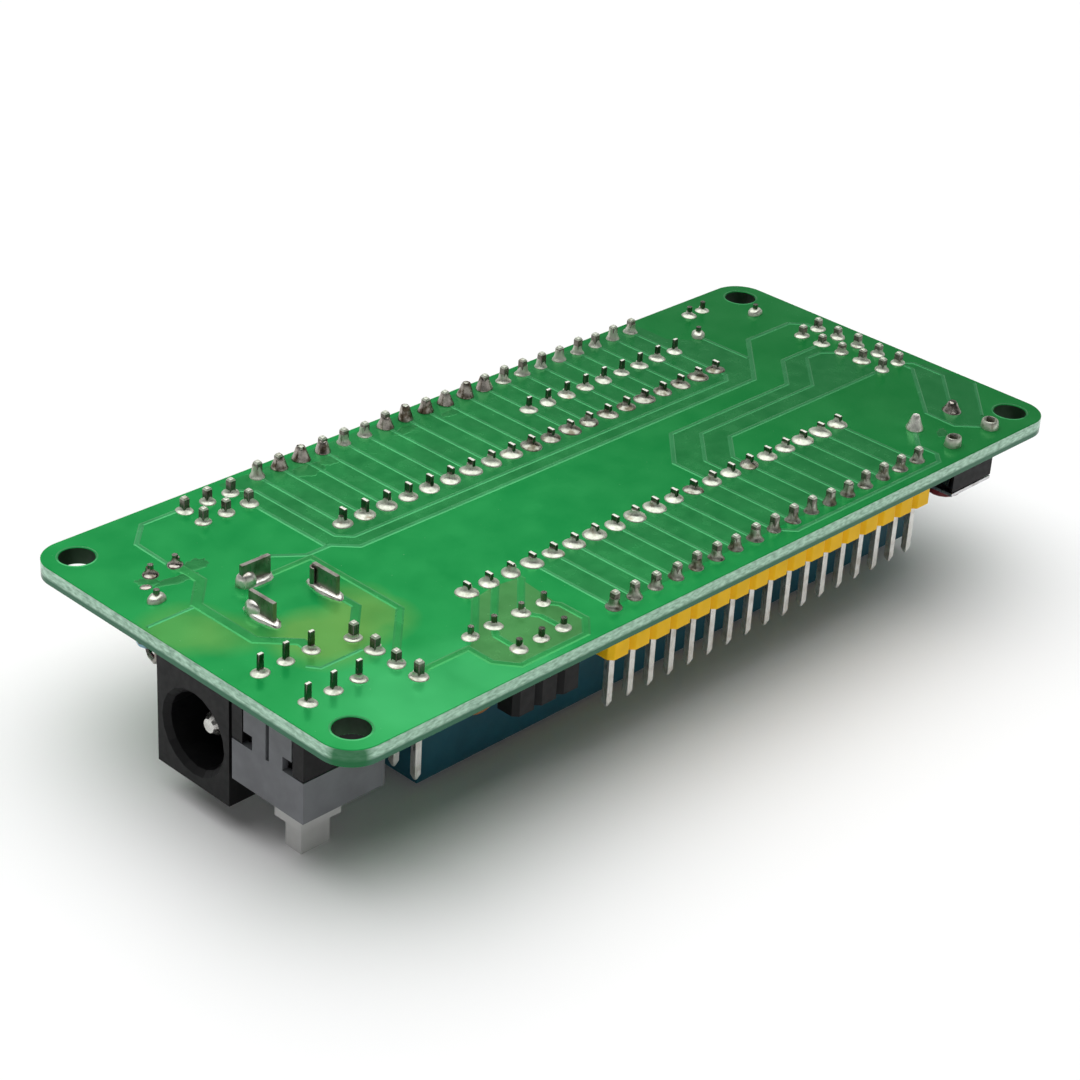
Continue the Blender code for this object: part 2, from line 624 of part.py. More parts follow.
def build_socket_cover():
    """Sliding half of the lever socket, with a pocket underneath for the cam, the ears and the lever."""
    middle = (SOCKET_X0 + SOCKET_X1) / 2
    outer = rectangle(middle, SOCKET_Y, SOCKET_LENGTH, SOCKET_WIDTH)
    top = BASE_DEPTH + SEAT_GAP
    bm = bmesh.new()
    place(bm, prism([outer], COVER_DEPTH - top), at(0, 0, z_at(COVER_DEPTH)))
    cover = finish(bm, "zif_cover", TEAL)
    bm = bmesh.new()
    for x, y in SOCKET_LEADS:
        centred(bm, x + COVER_SLIDE / 2, y, SLOT_X, SLOT_Y, z_at(COVER_DEPTH + SEAT_GAP), z_at(BASE_DEPTH))
    combine(cover, bm, "DIFFERENCE")
    cam_x0 = CAM_X + COVER_SLIDE / 2 - CAM_RADIUS - FIT_GAP
    cam_x1 = CAM_X + COVER_SLIDE / 2 + CAM_RADIUS + FIT_GAP
    ear_x0 = CAM_X - EAR_HALF - SEAT_GAP
    ear_x1 = CAM_X + EAR_HALF + COVER_SLIDE + SEAT_GAP
    rod_x0 = CAM_X - ROD_RADIUS - SEAT_GAP
    rod_x1 = CAM_X + ROD_RADIUS + COVER_SLIDE + SEAT_GAP
    inside = EAR_OFFSET - EAR_THICK / 2 - SEAT_GAP
    outside = EAR_OFFSET + EAR_THICK / 2 + SEAT_GAP
    beyond = SOCKET_WIDTH / 2 + SOCKET_SIDE
    half = [(ear_x1, -outside), (ear_x1, -inside), (cam_x1, -inside), (cam_x1, inside), (ear_x1, inside),
            (ear_x1, outside), (rod_x1, outside), (rod_x1, beyond), (rod_x0, beyond), (rod_x0, outside),
            (ear_x0, outside), (ear_x0, inside), (cam_x0, inside), (cam_x0, -inside), (ear_x0, -inside),
            (ear_x0, -outside)]
    deepest = SHAFT_DEPTH + max(EAR_TIP, CAM_RADIUS) + SEAT_GAP
    bm = bmesh.new()
    pocket = prism([[(u, SOCKET_Y + v) for u, v in half]], deepest - BASE_DEPTH)
    place(bm, pocket, at(0, 0, z_at(deepest)))
    combine(cover, bm, "DIFFERENCE")
    bm = bmesh.new()
    centred(bm, middle, SOCKET_Y, 2 * SOCKET_LENGTH, COVER_TROUGH_WIDTH,
            z_at(COVER_DEPTH + SEAT_GAP), z_at(COVER_DEPTH - COVER_TROUGH_DEPTH))
    combine(cover, bm, "DIFFERENCE")


def build_lever():
    """Lever rod with its cam sleeve and grip, all turning about the shaft line."""
    shaft = (CAM_X, SOCKET_Y, z_at(SHAFT_DEPTH))
    start = SOCKET_Y - EAR_OFFSET - EAR_THICK / 2
    corner = bend((CAM_X - LEVER_BEND, LEVER_Y - LEVER_BEND), LEVER_BEND, 0, 90, 4)
    tip = CAM_X - LEVER_LENGTH
    plan = [(CAM_X, start)] + corner + [(tip, LEVER_Y)]
    bm = bmesh.new()
    place(bm, wire([(x, y, shaft[2]) for x, y in plan], ROD_RADIUS, 2), Matrix())
    finish(bm, "zif_lever", STEEL, shaft, smooth=True)
    length = 2 * (EAR_OFFSET - EAR_THICK / 2 - SEAT_GAP)
    sleeve = prism([circle(COVER_SLIDE / 2, COVER_SLIDE / 2, CAM_RADIUS, 16),
                    circle(0, 0, ROD_RADIUS + FIT_GAP, 12)], length)
    bm = bmesh.new()
    place(bm, sleeve, at(CAM_X, SOCKET_Y + length / 2, shaft[2]) @ ALONG_Y)
    finish(bm, "zif_cam", BLACK, shaft, smooth=True)
    side = GRIP_WIDTH / 2
    lip = GRIP_WIDTH / 5
    end = shaft[2] - GRIP_HEIGHT / 2
    outline = [(-side + lip, end), (side - lip, end), (side, end + lip), (side, end + GRIP_HEIGHT - lip),
               (side - lip, end + GRIP_HEIGHT), (lip - side, end + GRIP_HEIGHT),
               (-side, end + GRIP_HEIGHT - lip), (-side, end + lip)]
    bm = bmesh.new()
    place(bm, prism([outline], GRIP_LENGTH), at(tip - 2 * ROD_RADIUS, LEVER_Y, 0) @ ALONG_X)
    grip = finish(bm, "zif_lever_grip", BLACK, shaft)
    bm = bmesh.new()
    bore = ROD_RADIUS + FIT_GAP
    hole = turned([(0, 0), (bore, 0), (bore, GRIP_LENGTH), (0, GRIP_LENGTH)], 12)
    place(bm, hole, at(tip - SEAT_GAP, LEVER_Y, shaft[2]) @ ALONG_X)
    combine(grip, bm, "DIFFERENCE")


def build_headers():
    """Pin headers: square pins moulded into a notched housing."""
    radius = PIN_SIDE / math.sqrt(2)
    low, high = z_at(PIN_DEPTH), SOLDER_Z + PIN_PROUD
    pin = turned([(0, low), (radius / 2, low), (radius, low + PIN_TAPER), (radius, high), (0, high)], 4)
    square = Matrix.Rotation(math.pi / 4, 4, "Z")
    for name, (xs, ys, stuff) in HEADERS.items():
        outline = ways_outline(xs, ys, PITCH / 2, PITCH / 2, HOUSING_NOTCH)
        bm = bmesh.new()
        place(bm, prism([outline], HOUSING_HEIGHT), at(0, 0, z_at(HOUSING_HEIGHT + FIT_GAP)))
        header = finish(bm, name, stuff)
        bm = bmesh.new()
        for x in xs:
            for y in ys:
                place(bm, pin, at(x, y, 0) @ square)
        combine(header, bm, "UNION")


def build_jack_housing():
    """Jack housing: square flange, arched body, plug bore and slots for the terminals."""
    half = JACK_WIDTH / 2 - JACK_REAR_STEP
    seat = z_at(SEAT_GAP)
    arch = bend((JACK_Y, z_at(JACK_AXIS)), half, 0, -180, 12)
    outline = [(JACK_Y - half, seat - JACK_REAR_STEP), (JACK_Y + half, seat - JACK_REAR_STEP)] + arch
    bm = bmesh.new()
    inside = JACK_X0 + JACK_FLANGE / 2
    place(bm, prism([outline], JACK_X1 - inside), at(inside, 0, 0) @ ALONG_X)
    housing = finish(bm, "jack_housing", BLACK)
    bm = bmesh.new()
    block(bm, JACK_X0, JACK_X0 + JACK_FLANGE, JACK_NEAR, JACK_Y + JACK_WIDTH / 2, seat - JACK_HEIGHT, seat)
    combine(housing, bm, "UNION")
    bore, mouth = JACK_BORE / 2, JACK_MOUTH
    bm = bmesh.new()
    plug = [(0, -mouth), (bore + 2 * mouth, -mouth), (bore, mouth), (bore, JACK_BORE_DEPTH),
            (0, JACK_BORE_DEPTH)]
    place(bm, turned(plug, 20), at(JACK_X0, JACK_Y, z_at(JACK_AXIS)) @ ALONG_X)
    combine(housing, bm, "DIFFERENCE")
    bm = bmesh.new()
    pin = JACK_PIN / 2 + LEAD_GAP
    place(bm, turned([(0, 0), (pin, 0), (pin, JACK_LENGTH), (0, JACK_LENGTH)], 12),
          at(JACK_X0 + JACK_BORE_DEPTH / 2, JACK_Y, z_at(JACK_AXIS)) @ ALONG_X)
    combine(housing, bm, "DIFFERENCE")
    bm = bmesh.new()
    wide = JACK_BLADE / 2 + SEAT_GAP
    gap = JACK_STRIP / 2 + SEAT_GAP
    rear = JACK_REAR[0] - gap
    block(bm, rear, JACK_X1 + SEAT_GAP, JACK_Y - wide, JACK_Y + wide,
          z_at(JACK_AXIS + JACK_PIN + SEAT_GAP), COMPONENT_Z)
    tongue = JACK_AXIS - JACK_STRIP * 3
    block(bm, JACK_SIDE[0] - wide, JACK_SIDE[0] + wide, JACK_Y + JACK_BORE / 2 - SEAT_GAP,
          JACK_Y + JACK_WIDTH, z_at(tongue + gap), z_at(tongue - gap))
    leaf_x0 = JACK_SLEEVE[0] - JACK_LEAF_REACH - SEAT_GAP
    leaf_top = JACK_AXIS - JACK_BORE / 2 - JACK_STRIP - SEAT_GAP
    leaf_low = z_at(JACK_AXIS - JACK_BORE / 4)
    well = [(JACK_SLEEVE[0] + gap, COMPONENT_Z), (JACK_SLEEVE[0] - gap, COMPONENT_Z),
            (JACK_SLEEVE[0] - gap, z_at(leaf_top)), (leaf_x0, z_at(leaf_top)),
            (leaf_x0, leaf_low), (JACK_SLEEVE[0] + gap, leaf_low)]
    place(bm, prism([well], 2 * wide), at(0, JACK_Y + wide, 0) @ ALONG_Y)
    combine(housing, bm, "DIFFERENCE")


def build_jack_contacts():
    """Centre pin riveted through its terminal, bowed sleeve spring and side contact."""
    radius, tail = JACK_PIN / 2, JACK_PIN_TAIL / 2
    tip = JACK_X0 + JACK_PIN_RECESS
    shoulder = JACK_REAR[0] - JACK_STRIP / 2 - FIT_GAP
    end = JACK_REAR[0] + JACK_STRIP / 2 + FIT_GAP
    bm = bmesh.new()
    profile = [(0, tip), (radius * 0.6, tip), (radius, tip + radius * 0.6), (radius, shoulder),
               (tail, shoulder), (tail, end), (0, end)]
    place(bm, turned(profile, 12), at(0, JACK_Y, z_at(JACK_AXIS)) @ ALONG_X)
    finish(bm, "jack_centre_pin", PLATED, smooth=True)
    half, top = JACK_BLADE / 2, SOLDER_Z + JACK_PROUD
    low = z_at(JACK_AXIS + JACK_PIN)
    outline = [(JACK_Y - half, low), (JACK_Y + half, low), (JACK_Y + half, top), (JACK_Y - half, top)]
    hole = circle(JACK_Y, z_at(JACK_AXIS), tail + FIT_GAP, 10)
    bm = bmesh.new()
    place(bm, prism([outline, hole], JACK_STRIP), at(JACK_REAR[0] - JACK_STRIP / 2, 0, 0) @ ALONG_X)
    finish(bm, "jack_pin_terminal", PLATED)
    x1, x0 = JACK_SLEEVE[0] + JACK_STRIP / 2, JACK_SLEEVE[0] - JACK_STRIP / 2
    base = z_at(JACK_AXIS - JACK_BORE / 2 - JACK_STRIP)
    crest, toe = base - JACK_LEAF_BOW, JACK_SLEEVE[0] - JACK_LEAF_REACH
    middle = (x0 + toe) / 2
    outline = [(x1, top), (x0, top), (x0, base), (middle, crest + JACK_STRIP), (toe, base),
               (toe, base - JACK_STRIP), (middle, crest), (x1, base - JACK_STRIP)]
    bm = bmesh.new()
    place(bm, prism([outline], JACK_BLADE), at(0, JACK_Y + half, 0) @ ALONG_Y)
    finish(bm, "jack_sleeve_spring", PLATED)
    y1, y0 = JACK_SIDE[1] + JACK_STRIP / 2, JACK_SIDE[1] - JACK_STRIP / 2
    tongue = z_at(JACK_AXIS - JACK_STRIP * 3)
    inner = JACK_Y + JACK_BORE / 2
    outline = [(y0, top), (y1, top), (y1, tongue - JACK_STRIP / 2), (inner, tongue - JACK_STRIP / 2),
               (inner, tongue + JACK_STRIP / 2), (y0, tongue + JACK_STRIP / 2)]
    bm = bmesh.new()
    place(bm, prism([outline], JACK_BLADE), at(JACK_SIDE[0] - half, 0, 0) @ ALONG_X)
    finish(bm, "jack_side_contact", PLATED)


def build_switch():
    """Push-on push-off switch: cup base, snap-on cover, plunger on a coil spring, clips and pins."""
    half = SWITCH_SIDE / 2
    recess = SWITCH_ARM_THICK + FIT_GAP
    wide = SWITCH_ARM_WIDTH / 2 + FIT_GAP
    outline = [(-half, -half), (half, -half), (half, -wide), (half - recess, -wide), (half - recess, wide),
               (half, wide), (half, half), (-half, half), (-half, wide), (recess - half, wide),
               (recess - half, -wide), (-half, -wide)]
    floor = SEAT_GAP + SWITCH_FLOOR
    split = SWITCH_SPLIT - FIT_GAP
    bm = bmesh.new()
    place(bm, prism([outline], split - SEAT_GAP), at(SWITCH_X, SWITCH_Y, z_at(split)))
    base = finish(bm, "switch_base", BLACK)
    bm = bmesh.new()
    pin_outer = SWITCH_PIN_Y + SWITCH_PIN_THICK / 2 + LEAD_GAP
    cavity = CARRIAGE_X + 2 * SLIDE_GAP
    centred(bm, SWITCH_X, SWITCH_Y, cavity, 2 * pin_outer, z_at(SWITCH_SPLIT), z_at(floor))
    combine(base, bm, "DIFFERENCE")
    slots, pins = bmesh.new(), bmesh.new()
    for x, y in SWITCH_LEADS:
        centred(slots, x, y, SWITCH_PIN_WIDTH + 2 * LEAD_GAP, SWITCH_PIN_THICK + 2 * LEAD_GAP,
                z_at(SWITCH_SPLIT), z_at(floor + FIT_GAP))
        centred(pins, x, y, SWITCH_PIN_WIDTH, SWITCH_PIN_THICK, z_at(SWITCH_PIN_DEPTH), SOLDER_Z + WIRE_PROUD)
    combine(base, slots, "DIFFERENCE")
    combine(base, pins, "UNION")
    bm = bmesh.new()
    centred(bm, SWITCH_X, SWITCH_Y, SWITCH_SIDE, SWITCH_SIDE, z_at(SWITCH_TOP), z_at(SWITCH_SPLIT))
    cover = finish(bm, "switch_cover", GREY)
    bm = bmesh.new()
    inner = SWITCH_SIDE - 2 * SWITCH_WALL
    centred(bm, SWITCH_X, SWITCH_Y, inner, inner, z_at(SWITCH_TOP - SWITCH_PLATE), z_at(SWITCH_FLOOR))
    combine(cover, bm, "DIFFERENCE")
    bm = bmesh.new()
    seam, edge = SWITCH_ARM_SEAM / 2, SWITCH_ARM_WIDTH / 2
    neck = edge - SWITCH_NECK_CUT
    root, end = z_at(SWITCH_SPLIT + SWITCH_WALL), z_at(SWITCH_ARM_END)
    step = z_at(SWITCH_SPLIT - SWITCH_NECK_HEIGHT)
    strap = [(seam, root), (neck, root), (neck, step), (edge, step), (edge, end), (seam, end)]
    for start in (SWITCH_X - half, SWITCH_X + half - SWITCH_ARM_THICK):
        for part in (-1, 1):
            outline = [(SWITCH_Y + part * v, z) for v, z in strap]
            place(bm, prism([outline], SWITCH_ARM_THICK), at(start, 0, 0) @ ALONG_X)
    combine(cover, bm, "UNION")
    bm = bmesh.new()
    centred(bm, SWITCH_X, SWITCH_Y, STEM_X + 2 * SLIDE_GAP, STEM_Y + 2 * SLIDE_GAP,
            z_at(SWITCH_TOP + SEAT_GAP), z_at(SWITCH_SPLIT))
    combine(cover, bm, "DIFFERENCE")
    bottom = SWITCH_TOP - SWITCH_PLATE - SEAT_GAP
    origin = (SWITCH_X, SWITCH_Y, z_at(bottom))
    bm = bmesh.new()
    centred(bm, SWITCH_X, SWITCH_Y, CARRIAGE_X, CARRIAGE_Y, z_at(bottom), z_at(bottom - CARRIAGE_HEIGHT))
    plunger = finish(bm, "switch_plunger", WHITE, origin)
    bm = bmesh.new()
    centred(bm, SWITCH_X, SWITCH_Y, STEM_X, STEM_Y, z_at(SWITCH_REACH), z_at(bottom - SEAT_GAP))
    combine(plunger, bm, "UNION")
    bm = bmesh.new()
    flange = SWITCH_TOP + SWITCH_TRAVEL + SEAT_GAP
    centred(bm, SWITCH_X, SWITCH_Y, FLANGE_X, FLANGE_Y, z_at(flange + FLANGE_THICK), z_at(flange))
    combine(plunger, bm, "UNION")
    bm = bmesh.new()
    pocket = z_at(bottom - CARRIAGE_HEIGHT) - SPRING_POCKET_DEPTH
    rim = SPRING_POCKET / 2
    place(bm, turned([(0, 0), (rim, 0), (rim, CARRIAGE_HEIGHT), (0, CARRIAGE_HEIGHT)], 12),
          at(SWITCH_X, SWITCH_Y, pocket))
    combine(plunger, bm, "DIFFERENCE")
    low = pocket + SLIDE_GAP + SPRING_WIRE / 2
    high = z_at(floor) - SLIDE_GAP - SPRING_WIRE / 2
    turns = int(SPRING_TURNS * 10)
    coil = []
    for i in range(turns + 1):
        share = min(max((i - 6) / (turns - 12), 0), 1)
        x, y = SPRING_RADIUS * math.cos(math.pi * i / 5), SPRING_RADIUS * math.sin(math.pi * i / 5)
        coil.append((x, y, low + share * (high - low)))
    bm = bmesh.new()
    place(bm, wire(coil, SPRING_WIRE / 2, 1), at(SWITCH_X, SWITCH_Y, 0))
    finish(bm, "switch_spring", STEEL, (SWITCH_X, SWITCH_Y, high), smooth=True)
    clip = z_at(bottom - CARRIAGE_HEIGHT + CLIP_RAISE)
    for name, side in (("near", -1), ("far", 1)):
        y = SWITCH_Y + side * (CARRIAGE_Y / 2 + FIT_GAP + CLIP_THICK / 2)
        bm = bmesh.new()
        centred(bm, SWITCH_X, y, CLIP_LENGTH, CLIP_THICK, clip - CLIP_HEIGHT, clip)
        finish(bm, f"switch_clip_{name}", PLATED, origin)


def build_reset():
    """Reset push switch: grooved base, cover plate, button over a snap dome, four legs."""
    half = RESET_SIDE / 2
    floor = RESET_LEG_X - RESET_LEG_THICK / 2 - LEAD_GAP
    g0 = RESET_LEG_Y - RESET_LEG_WIDTH / 2 - LEAD_GAP
    g1 = RESET_LEG_Y + RESET_LEG_WIDTH / 2 + LEAD_GAP
    side = [(half, -half), (half, -g1), (floor, -g1), (floor, -g0), (half, -g0),
            (half, g0), (floor, g0), (floor, g1), (half, g1), (half, half)]
    outline = side + [(-x, -y) for x, y in side]
    top = RESET_HEIGHT
    bm = bmesh.new()
    place(bm, prism([outline], top - SLIDE_GAP), at(RESET_X, RESET_Y, z_at(top)))
    base = finish(bm, "reset_base", BLACK)
    bm = bmesh.new()
    pocket = RESET_POCKET / 2
    place(bm, turned([(0, 0), (pocket, 0), (pocket, top), (0, top)], 16),
          at(RESET_X, RESET_Y, z_at(RESET_FLOOR) - top))
    combine(base, bm, "DIFFERENCE")
    plate = top + FIT_GAP
    bm = bmesh.new()
    ring = prism([rectangle(RESET_X, RESET_Y, RESET_SIDE, RESET_SIDE),
                  circle(RESET_X, RESET_Y, RESET_HOLE / 2, 16)], RESET_PLATE)
    place(bm, ring, at(0, 0, z_at(plate + RESET_PLATE)))
    finish(bm, "reset_cover", STEEL)
    flange = plate - SEAT_GAP - FIT_GAP
    reach, low, high = z_at(RESET_REACH), z_at(flange), z_at(flange - RESET_FLANGE_THICK)
    stem = RESET_STEM / 2
    profile = [(0, reach), (stem * 0.9, reach), (stem, reach + stem * 0.1), (stem, low),
               (RESET_FLANGE / 2, low), (RESET_FLANGE / 2, high), (0, high)]
    bm = bmesh.new()
    place(bm, turned(profile, 16), at(RESET_X, RESET_Y, 0))
    finish(bm, "reset_button", MAROON, (RESET_X, RESET_Y, low), smooth=True)
    rim = z_at(RESET_FLOOR) - FIT_GAP
    bowl = [(DOME_RADIUS * share, rim - DOME_RISE * (1 - share ** 2)) for share in (0, 0.5, 0.8, 1)]
    shell = bowl + [(radius, height - DOME_THICK) for radius, height in reversed(bowl)]
    bm = bmesh.new()
    place(bm, turned(shell, 12), at(RESET_X, RESET_Y, 0))
    finish(bm, "reset_dome", STEEL, smooth=True)
    for number, (x, y) in enumerate(RESET_LEADS, 1):
        bm = bmesh.new()
        centred(bm, x, y, RESET_LEG_THICK, RESET_LEG_WIDTH, z_at(RESET_LEG_DEPTH), SOLDER_Z + WIRE_PROUD)
        finish(bm, f"reset_leg_{number}", PLATED)


def build_crystal_socket():
    """Three-way socket for the crystal, with turned contacts, and its two disc capacitors."""
    sleeve, bore, tail = CRYSTAL_SLEEVE / 2, CRYSTAL_BORE / 2, WIRE_LEAD / 2
    outline = ways_outline(CRYSTAL_COLUMNS, [CRYSTAL_Y], PITCH / 2, CRYSTAL_WIDTH / 2, HOUSING_NOTCH)
    holes = [circle(x, y, sleeve + LEAD_GAP, 10) for x, y in CRYSTAL_LEADS]
    bm = bmesh.new()
    place(bm, prism([outline] + holes, CRYSTAL_HEIGHT), at(0, 0, z_at(CRYSTAL_HEIGHT + SEAT_GAP)))
    finish(bm, "crystal_socket_body", BLACK)
    low, high = z_at(CRYSTAL_HEIGHT), z_at(2 * SEAT_GAP)
    profile = [(0, low + CRYSTAL_BORE_DEPTH), (bore, low + CRYSTAL_BORE_DEPTH), (bore, low), (sleeve, low),
               (sleeve, high), (tail, high), (tail, SOLDER_Z + WIRE_PROUD), (0, SOLDER_Z + WIRE_PROUD)]
    contact = turned(profile, 8)
    for number, (x, y) in enumerate(CRYSTAL_LEADS, 1):
        bm = bmesh.new()
        place(bm, contact, at(x, y, 0))
        finish(bm, f"crystal_socket_contact_{number}", PLATED, smooth=True)
    for name, x in LOAD_CENTRES.items():
        bm = bmesh.new()
        size = Matrix.Diagonal((LOAD_DISC / 2, LOAD_THICK / 2, LOAD_DISC / 2, 1))
        bmesh.ops.create_uvsphere(bm, u_segments=12, v_segments=8, radius=1,
                                  matrix=at(x, LOAD_Y, z_at(LOAD_CENTRE)) @ size)
        body = finish(bm, f"load_capacitor_{name}_body", CERAMIC, smooth=True)
        leads = [(x + s * LOAD_LEAD_PITCH / 2, LOAD_Y) for s in (-1, 1)]
        bore_leads(body, leads, z_at(LOAD_CENTRE - LOAD_LEAD_PITCH / 4))
        straight_leads(f"load_capacitor_{name}", leads, z_at(LOAD_CENTRE - LOAD_LEAD_PITCH / 4) + SEAT_GAP)


def bore_leads(body, leads, low):
    """Cuts blind lead holes into the side of a body that faces the board."""
    radius = WIRE_LEAD / 2 + FIT_GAP
    bm = bmesh.new()
    for x, y in leads:
        place(bm, turned([(0, low), (radius, low), (radius, COMPONENT_Z), (0, COMPONENT_Z)], 6), at(x, y, 0))
    combine(body, bm, "DIFFERENCE")


def straight_leads(name, leads, low):
    """Round leads from inside a body through the board, a node each."""
    high = SOLDER_Z + WIRE_PROUD
    lead = turned([(0, low), (WIRE_LEAD / 2, low), (WIRE_LEAD / 2, high), (0, high)], 6)
    for number, (x, y) in enumerate(leads, 1):
        bm = bmesh.new()
        place(bm, lead, at(x, y, 0))
        finish(bm, f"{name}_lead_{number}", TIN, smooth=True)


def wire_lead(name, points):
    """Bent round lead through points."""
    bm = bmesh.new()
    place(bm, wire(points, WIRE_LEAD / 2), Matrix())
    finish(bm, name, TIN, smooth=True)


def build_network():
    """Resistor network in a flat strip with a lead every pitch."""
    low, high = z_at(2 * SEAT_GAP + NETWORK_HEIGHT), z_at(2 * SEAT_GAP)
    x0, x1 = NETWORK_COLUMNS[0] - NETWORK_END, NETWORK_COLUMNS[-1] + NETWORK_END
    lip = NETWORK_THICK / 6
    half = NETWORK_THICK / 2
    outline = [(-half + lip, low), (half - lip, low), (half, low + lip), (half, high), (-half, high),
               (-half, low + lip)]
    bm = bmesh.new()
    place(bm, prism([outline], x1 - x0), at(x0, NETWORK_Y, 0) @ ALONG_X)
    network = finish(bm, "resistor_network", BLACK)
    bm = bmesh.new()
    for x, y in NETWORK_POINTS:
        centred(bm, x, y, NETWORK_LEAD_WIDTH, NETWORK_LEAD_THICK,
                high - NETWORK_HEIGHT / 4, SOLDER_Z + WIRE_PROUD)
    combine(network, bm, "UNION")


def resistor():
    """Waisted resistor body along Z about its middle, with a blind hole for a lead in each end."""
    half, hole = RESISTOR_LENGTH / 2, WIRE_LEAD / 2 + FIT_GAP
    cap = RESISTOR_LENGTH / 4
    deep = half - 2 * RESISTOR_END / 3
    side = [(0, deep), (hole, deep), (hole, half), (RESISTOR_END * 0.8, half),
            (RESISTOR_END, half - RESISTOR_END / 4), (RESISTOR_END, cap + RESISTOR_END / 4),
            (RESISTOR_WAIST, cap)]
    return turned(side + [(radius, -height) for radius, height in reversed(side)], 10)


def build_resistors():
    """Reset resistor lying flat, and the lamp's resistor standing on end."""
    high = SOLDER_Z + WIRE_PROUD
    root = RESISTOR_LENGTH / 2 - RESISTOR_END / 3
    axis = z_at(RESISTOR_LYING)
    bm = bmesh.new()
    place(bm, resistor(), at(RESET_RESISTOR_X, RESET_RESISTOR_Y, axis) @ ALONG_X)
    finish(bm, "reset_resistor_body", LACQUER, smooth=True)
    for number, (x, y) in enumerate(LYING_LEADS, 1):
        side = math.copysign(1, x - RESET_RESISTOR_X)
        points = [(RESET_RESISTOR_X + side * root, y, axis), (x - side * WIRE_LEAD, y, axis),
                  (x, y, axis + WIRE_LEAD), (x, y, high)]
        wire_lead(f"reset_resistor_lead_{number}", points)
    middle = z_at(UPRIGHT_STAND) - RESISTOR_LENGTH / 2
    bm = bmesh.new()
    place(bm, resistor(), at(UPRIGHT_X, UPRIGHT_Y, middle))
    finish(bm, "led_resistor_body", LACQUER, smooth=True)
    over = middle - RESISTOR_LENGTH / 2 - UPRIGHT_LOOP
    down, up = Vector(UPRIGHT_LEADS[0]), Vector(UPRIGHT_LEADS[1])
    wire_lead("led_resistor_lead_1", [(*down, middle + root), (*down, high)])
    wire_lead("led_resistor_lead_2", [(*down, middle - root), (*down, over + WIRE_LEAD),
                                      (*down.lerp(up, 0.25), over), (*down.lerp(up, 0.75), over),
                                      (*up, over + WIRE_LEAD), (*up, high)])


def build_capacitor():
    """Reset capacitor: can with a crimp groove, rubber seal in its mouth, two leads."""
    mouth, end = z_at(SEAT_GAP), z_at(SEAT_GAP + CAN_HEIGHT)
    crimp = mouth - SEAL_DEPTH / 2
    inner = CAN_RADIUS - CAN_WALL
    waist = CAN_RADIUS - CAN_GROOVE
    seal = mouth - SEAL_DEPTH
    profile = [(0, end), (CAN_RADIUS * 0.9, end), (CAN_RADIUS, end + CAN_RADIUS * 0.1),
               (CAN_RADIUS, crimp - CAN_GROOVE), (waist, crimp), (CAN_RADIUS, crimp + CAN_GROOVE),
               (CAN_RADIUS, mouth), (inner, mouth), (inner, crimp + CAN_GROOVE),
               (waist - CAN_WALL, crimp), (waist - CAN_WALL, seal - SEAT_GAP), (0, seal - SEAT_GAP)]
    bm = bmesh.new()
    place(bm, turned(profile, 16), at(CAN_X, CAN_Y, 0))
    finish(bm, "reset_capacitor_can", SLEEVE, smooth=True)
    bung = waist - CAN_WALL - FIT_GAP
    holes = [circle(x, y, WIRE_LEAD / 2 + FIT_GAP, 6) for x, y in CAN_LEADS]
    bm = bmesh.new()
    place(bm, prism([circle(CAN_X, CAN_Y, bung, 16)] + holes, SEAL_DEPTH - FIT_GAP), at(0, 0, seal))
    finish(bm, "reset_capacitor_seal", RUBBER, smooth=True)
    straight_leads("reset_capacitor", CAN_LEADS, seal)


def build_lamp():
    """Power lamp: flanged lens with a domed end, standing off the board on two leads."""
    foot = z_at(LAMP_STAND)
    dome = foot - LAMP_HEIGHT + LAMP_RADIUS
    turns = row(math.pi / 8, math.pi / 8, 4)
    profile = [(0, dome - LAMP_RADIUS)]
    profile += [(LAMP_RADIUS * math.sin(a), dome - LAMP_RADIUS * math.cos(a)) for a in turns]
    profile += [(LAMP_RADIUS, foot - LAMP_FLANGE_THICK), (LAMP_FLANGE, foot - LAMP_FLANGE_THICK),
                (LAMP_FLANGE, foot), (0, foot)]
    bm = bmesh.new()
    place(bm, turned(profile, 12), at(LAMP_X, LAMP_Y, 0))
    lens = finish(bm, "power_led_lens", RED_LENS, smooth=True)
    bore_leads(lens, LAMP_LEADS, foot - LAMP_FLANGE_THICK + SLIDE_GAP)
    straight_leads("power_led", LAMP_LEADS, foot - LAMP_FLANGE_THICK + SLIDE_GAP + FIT_GAP)


build_board()
build_socket_base()
build_socket_cover()
build_lever()
build_headers()
build_jack_housing()
build_jack_contacts()
build_switch()
build_reset()
build_crystal_socket()
build_network()
build_resistors()
build_capacitor()
build_lamp()
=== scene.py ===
"""Looks of the microcontroller development board: finishes, solder, tracks and fine shapes."""

import logging
import math
import random
from dataclasses import dataclass, field
from enum import Enum
from typing import Sequence

import bmesh
import bpy
from mathutils import Matrix, Vector


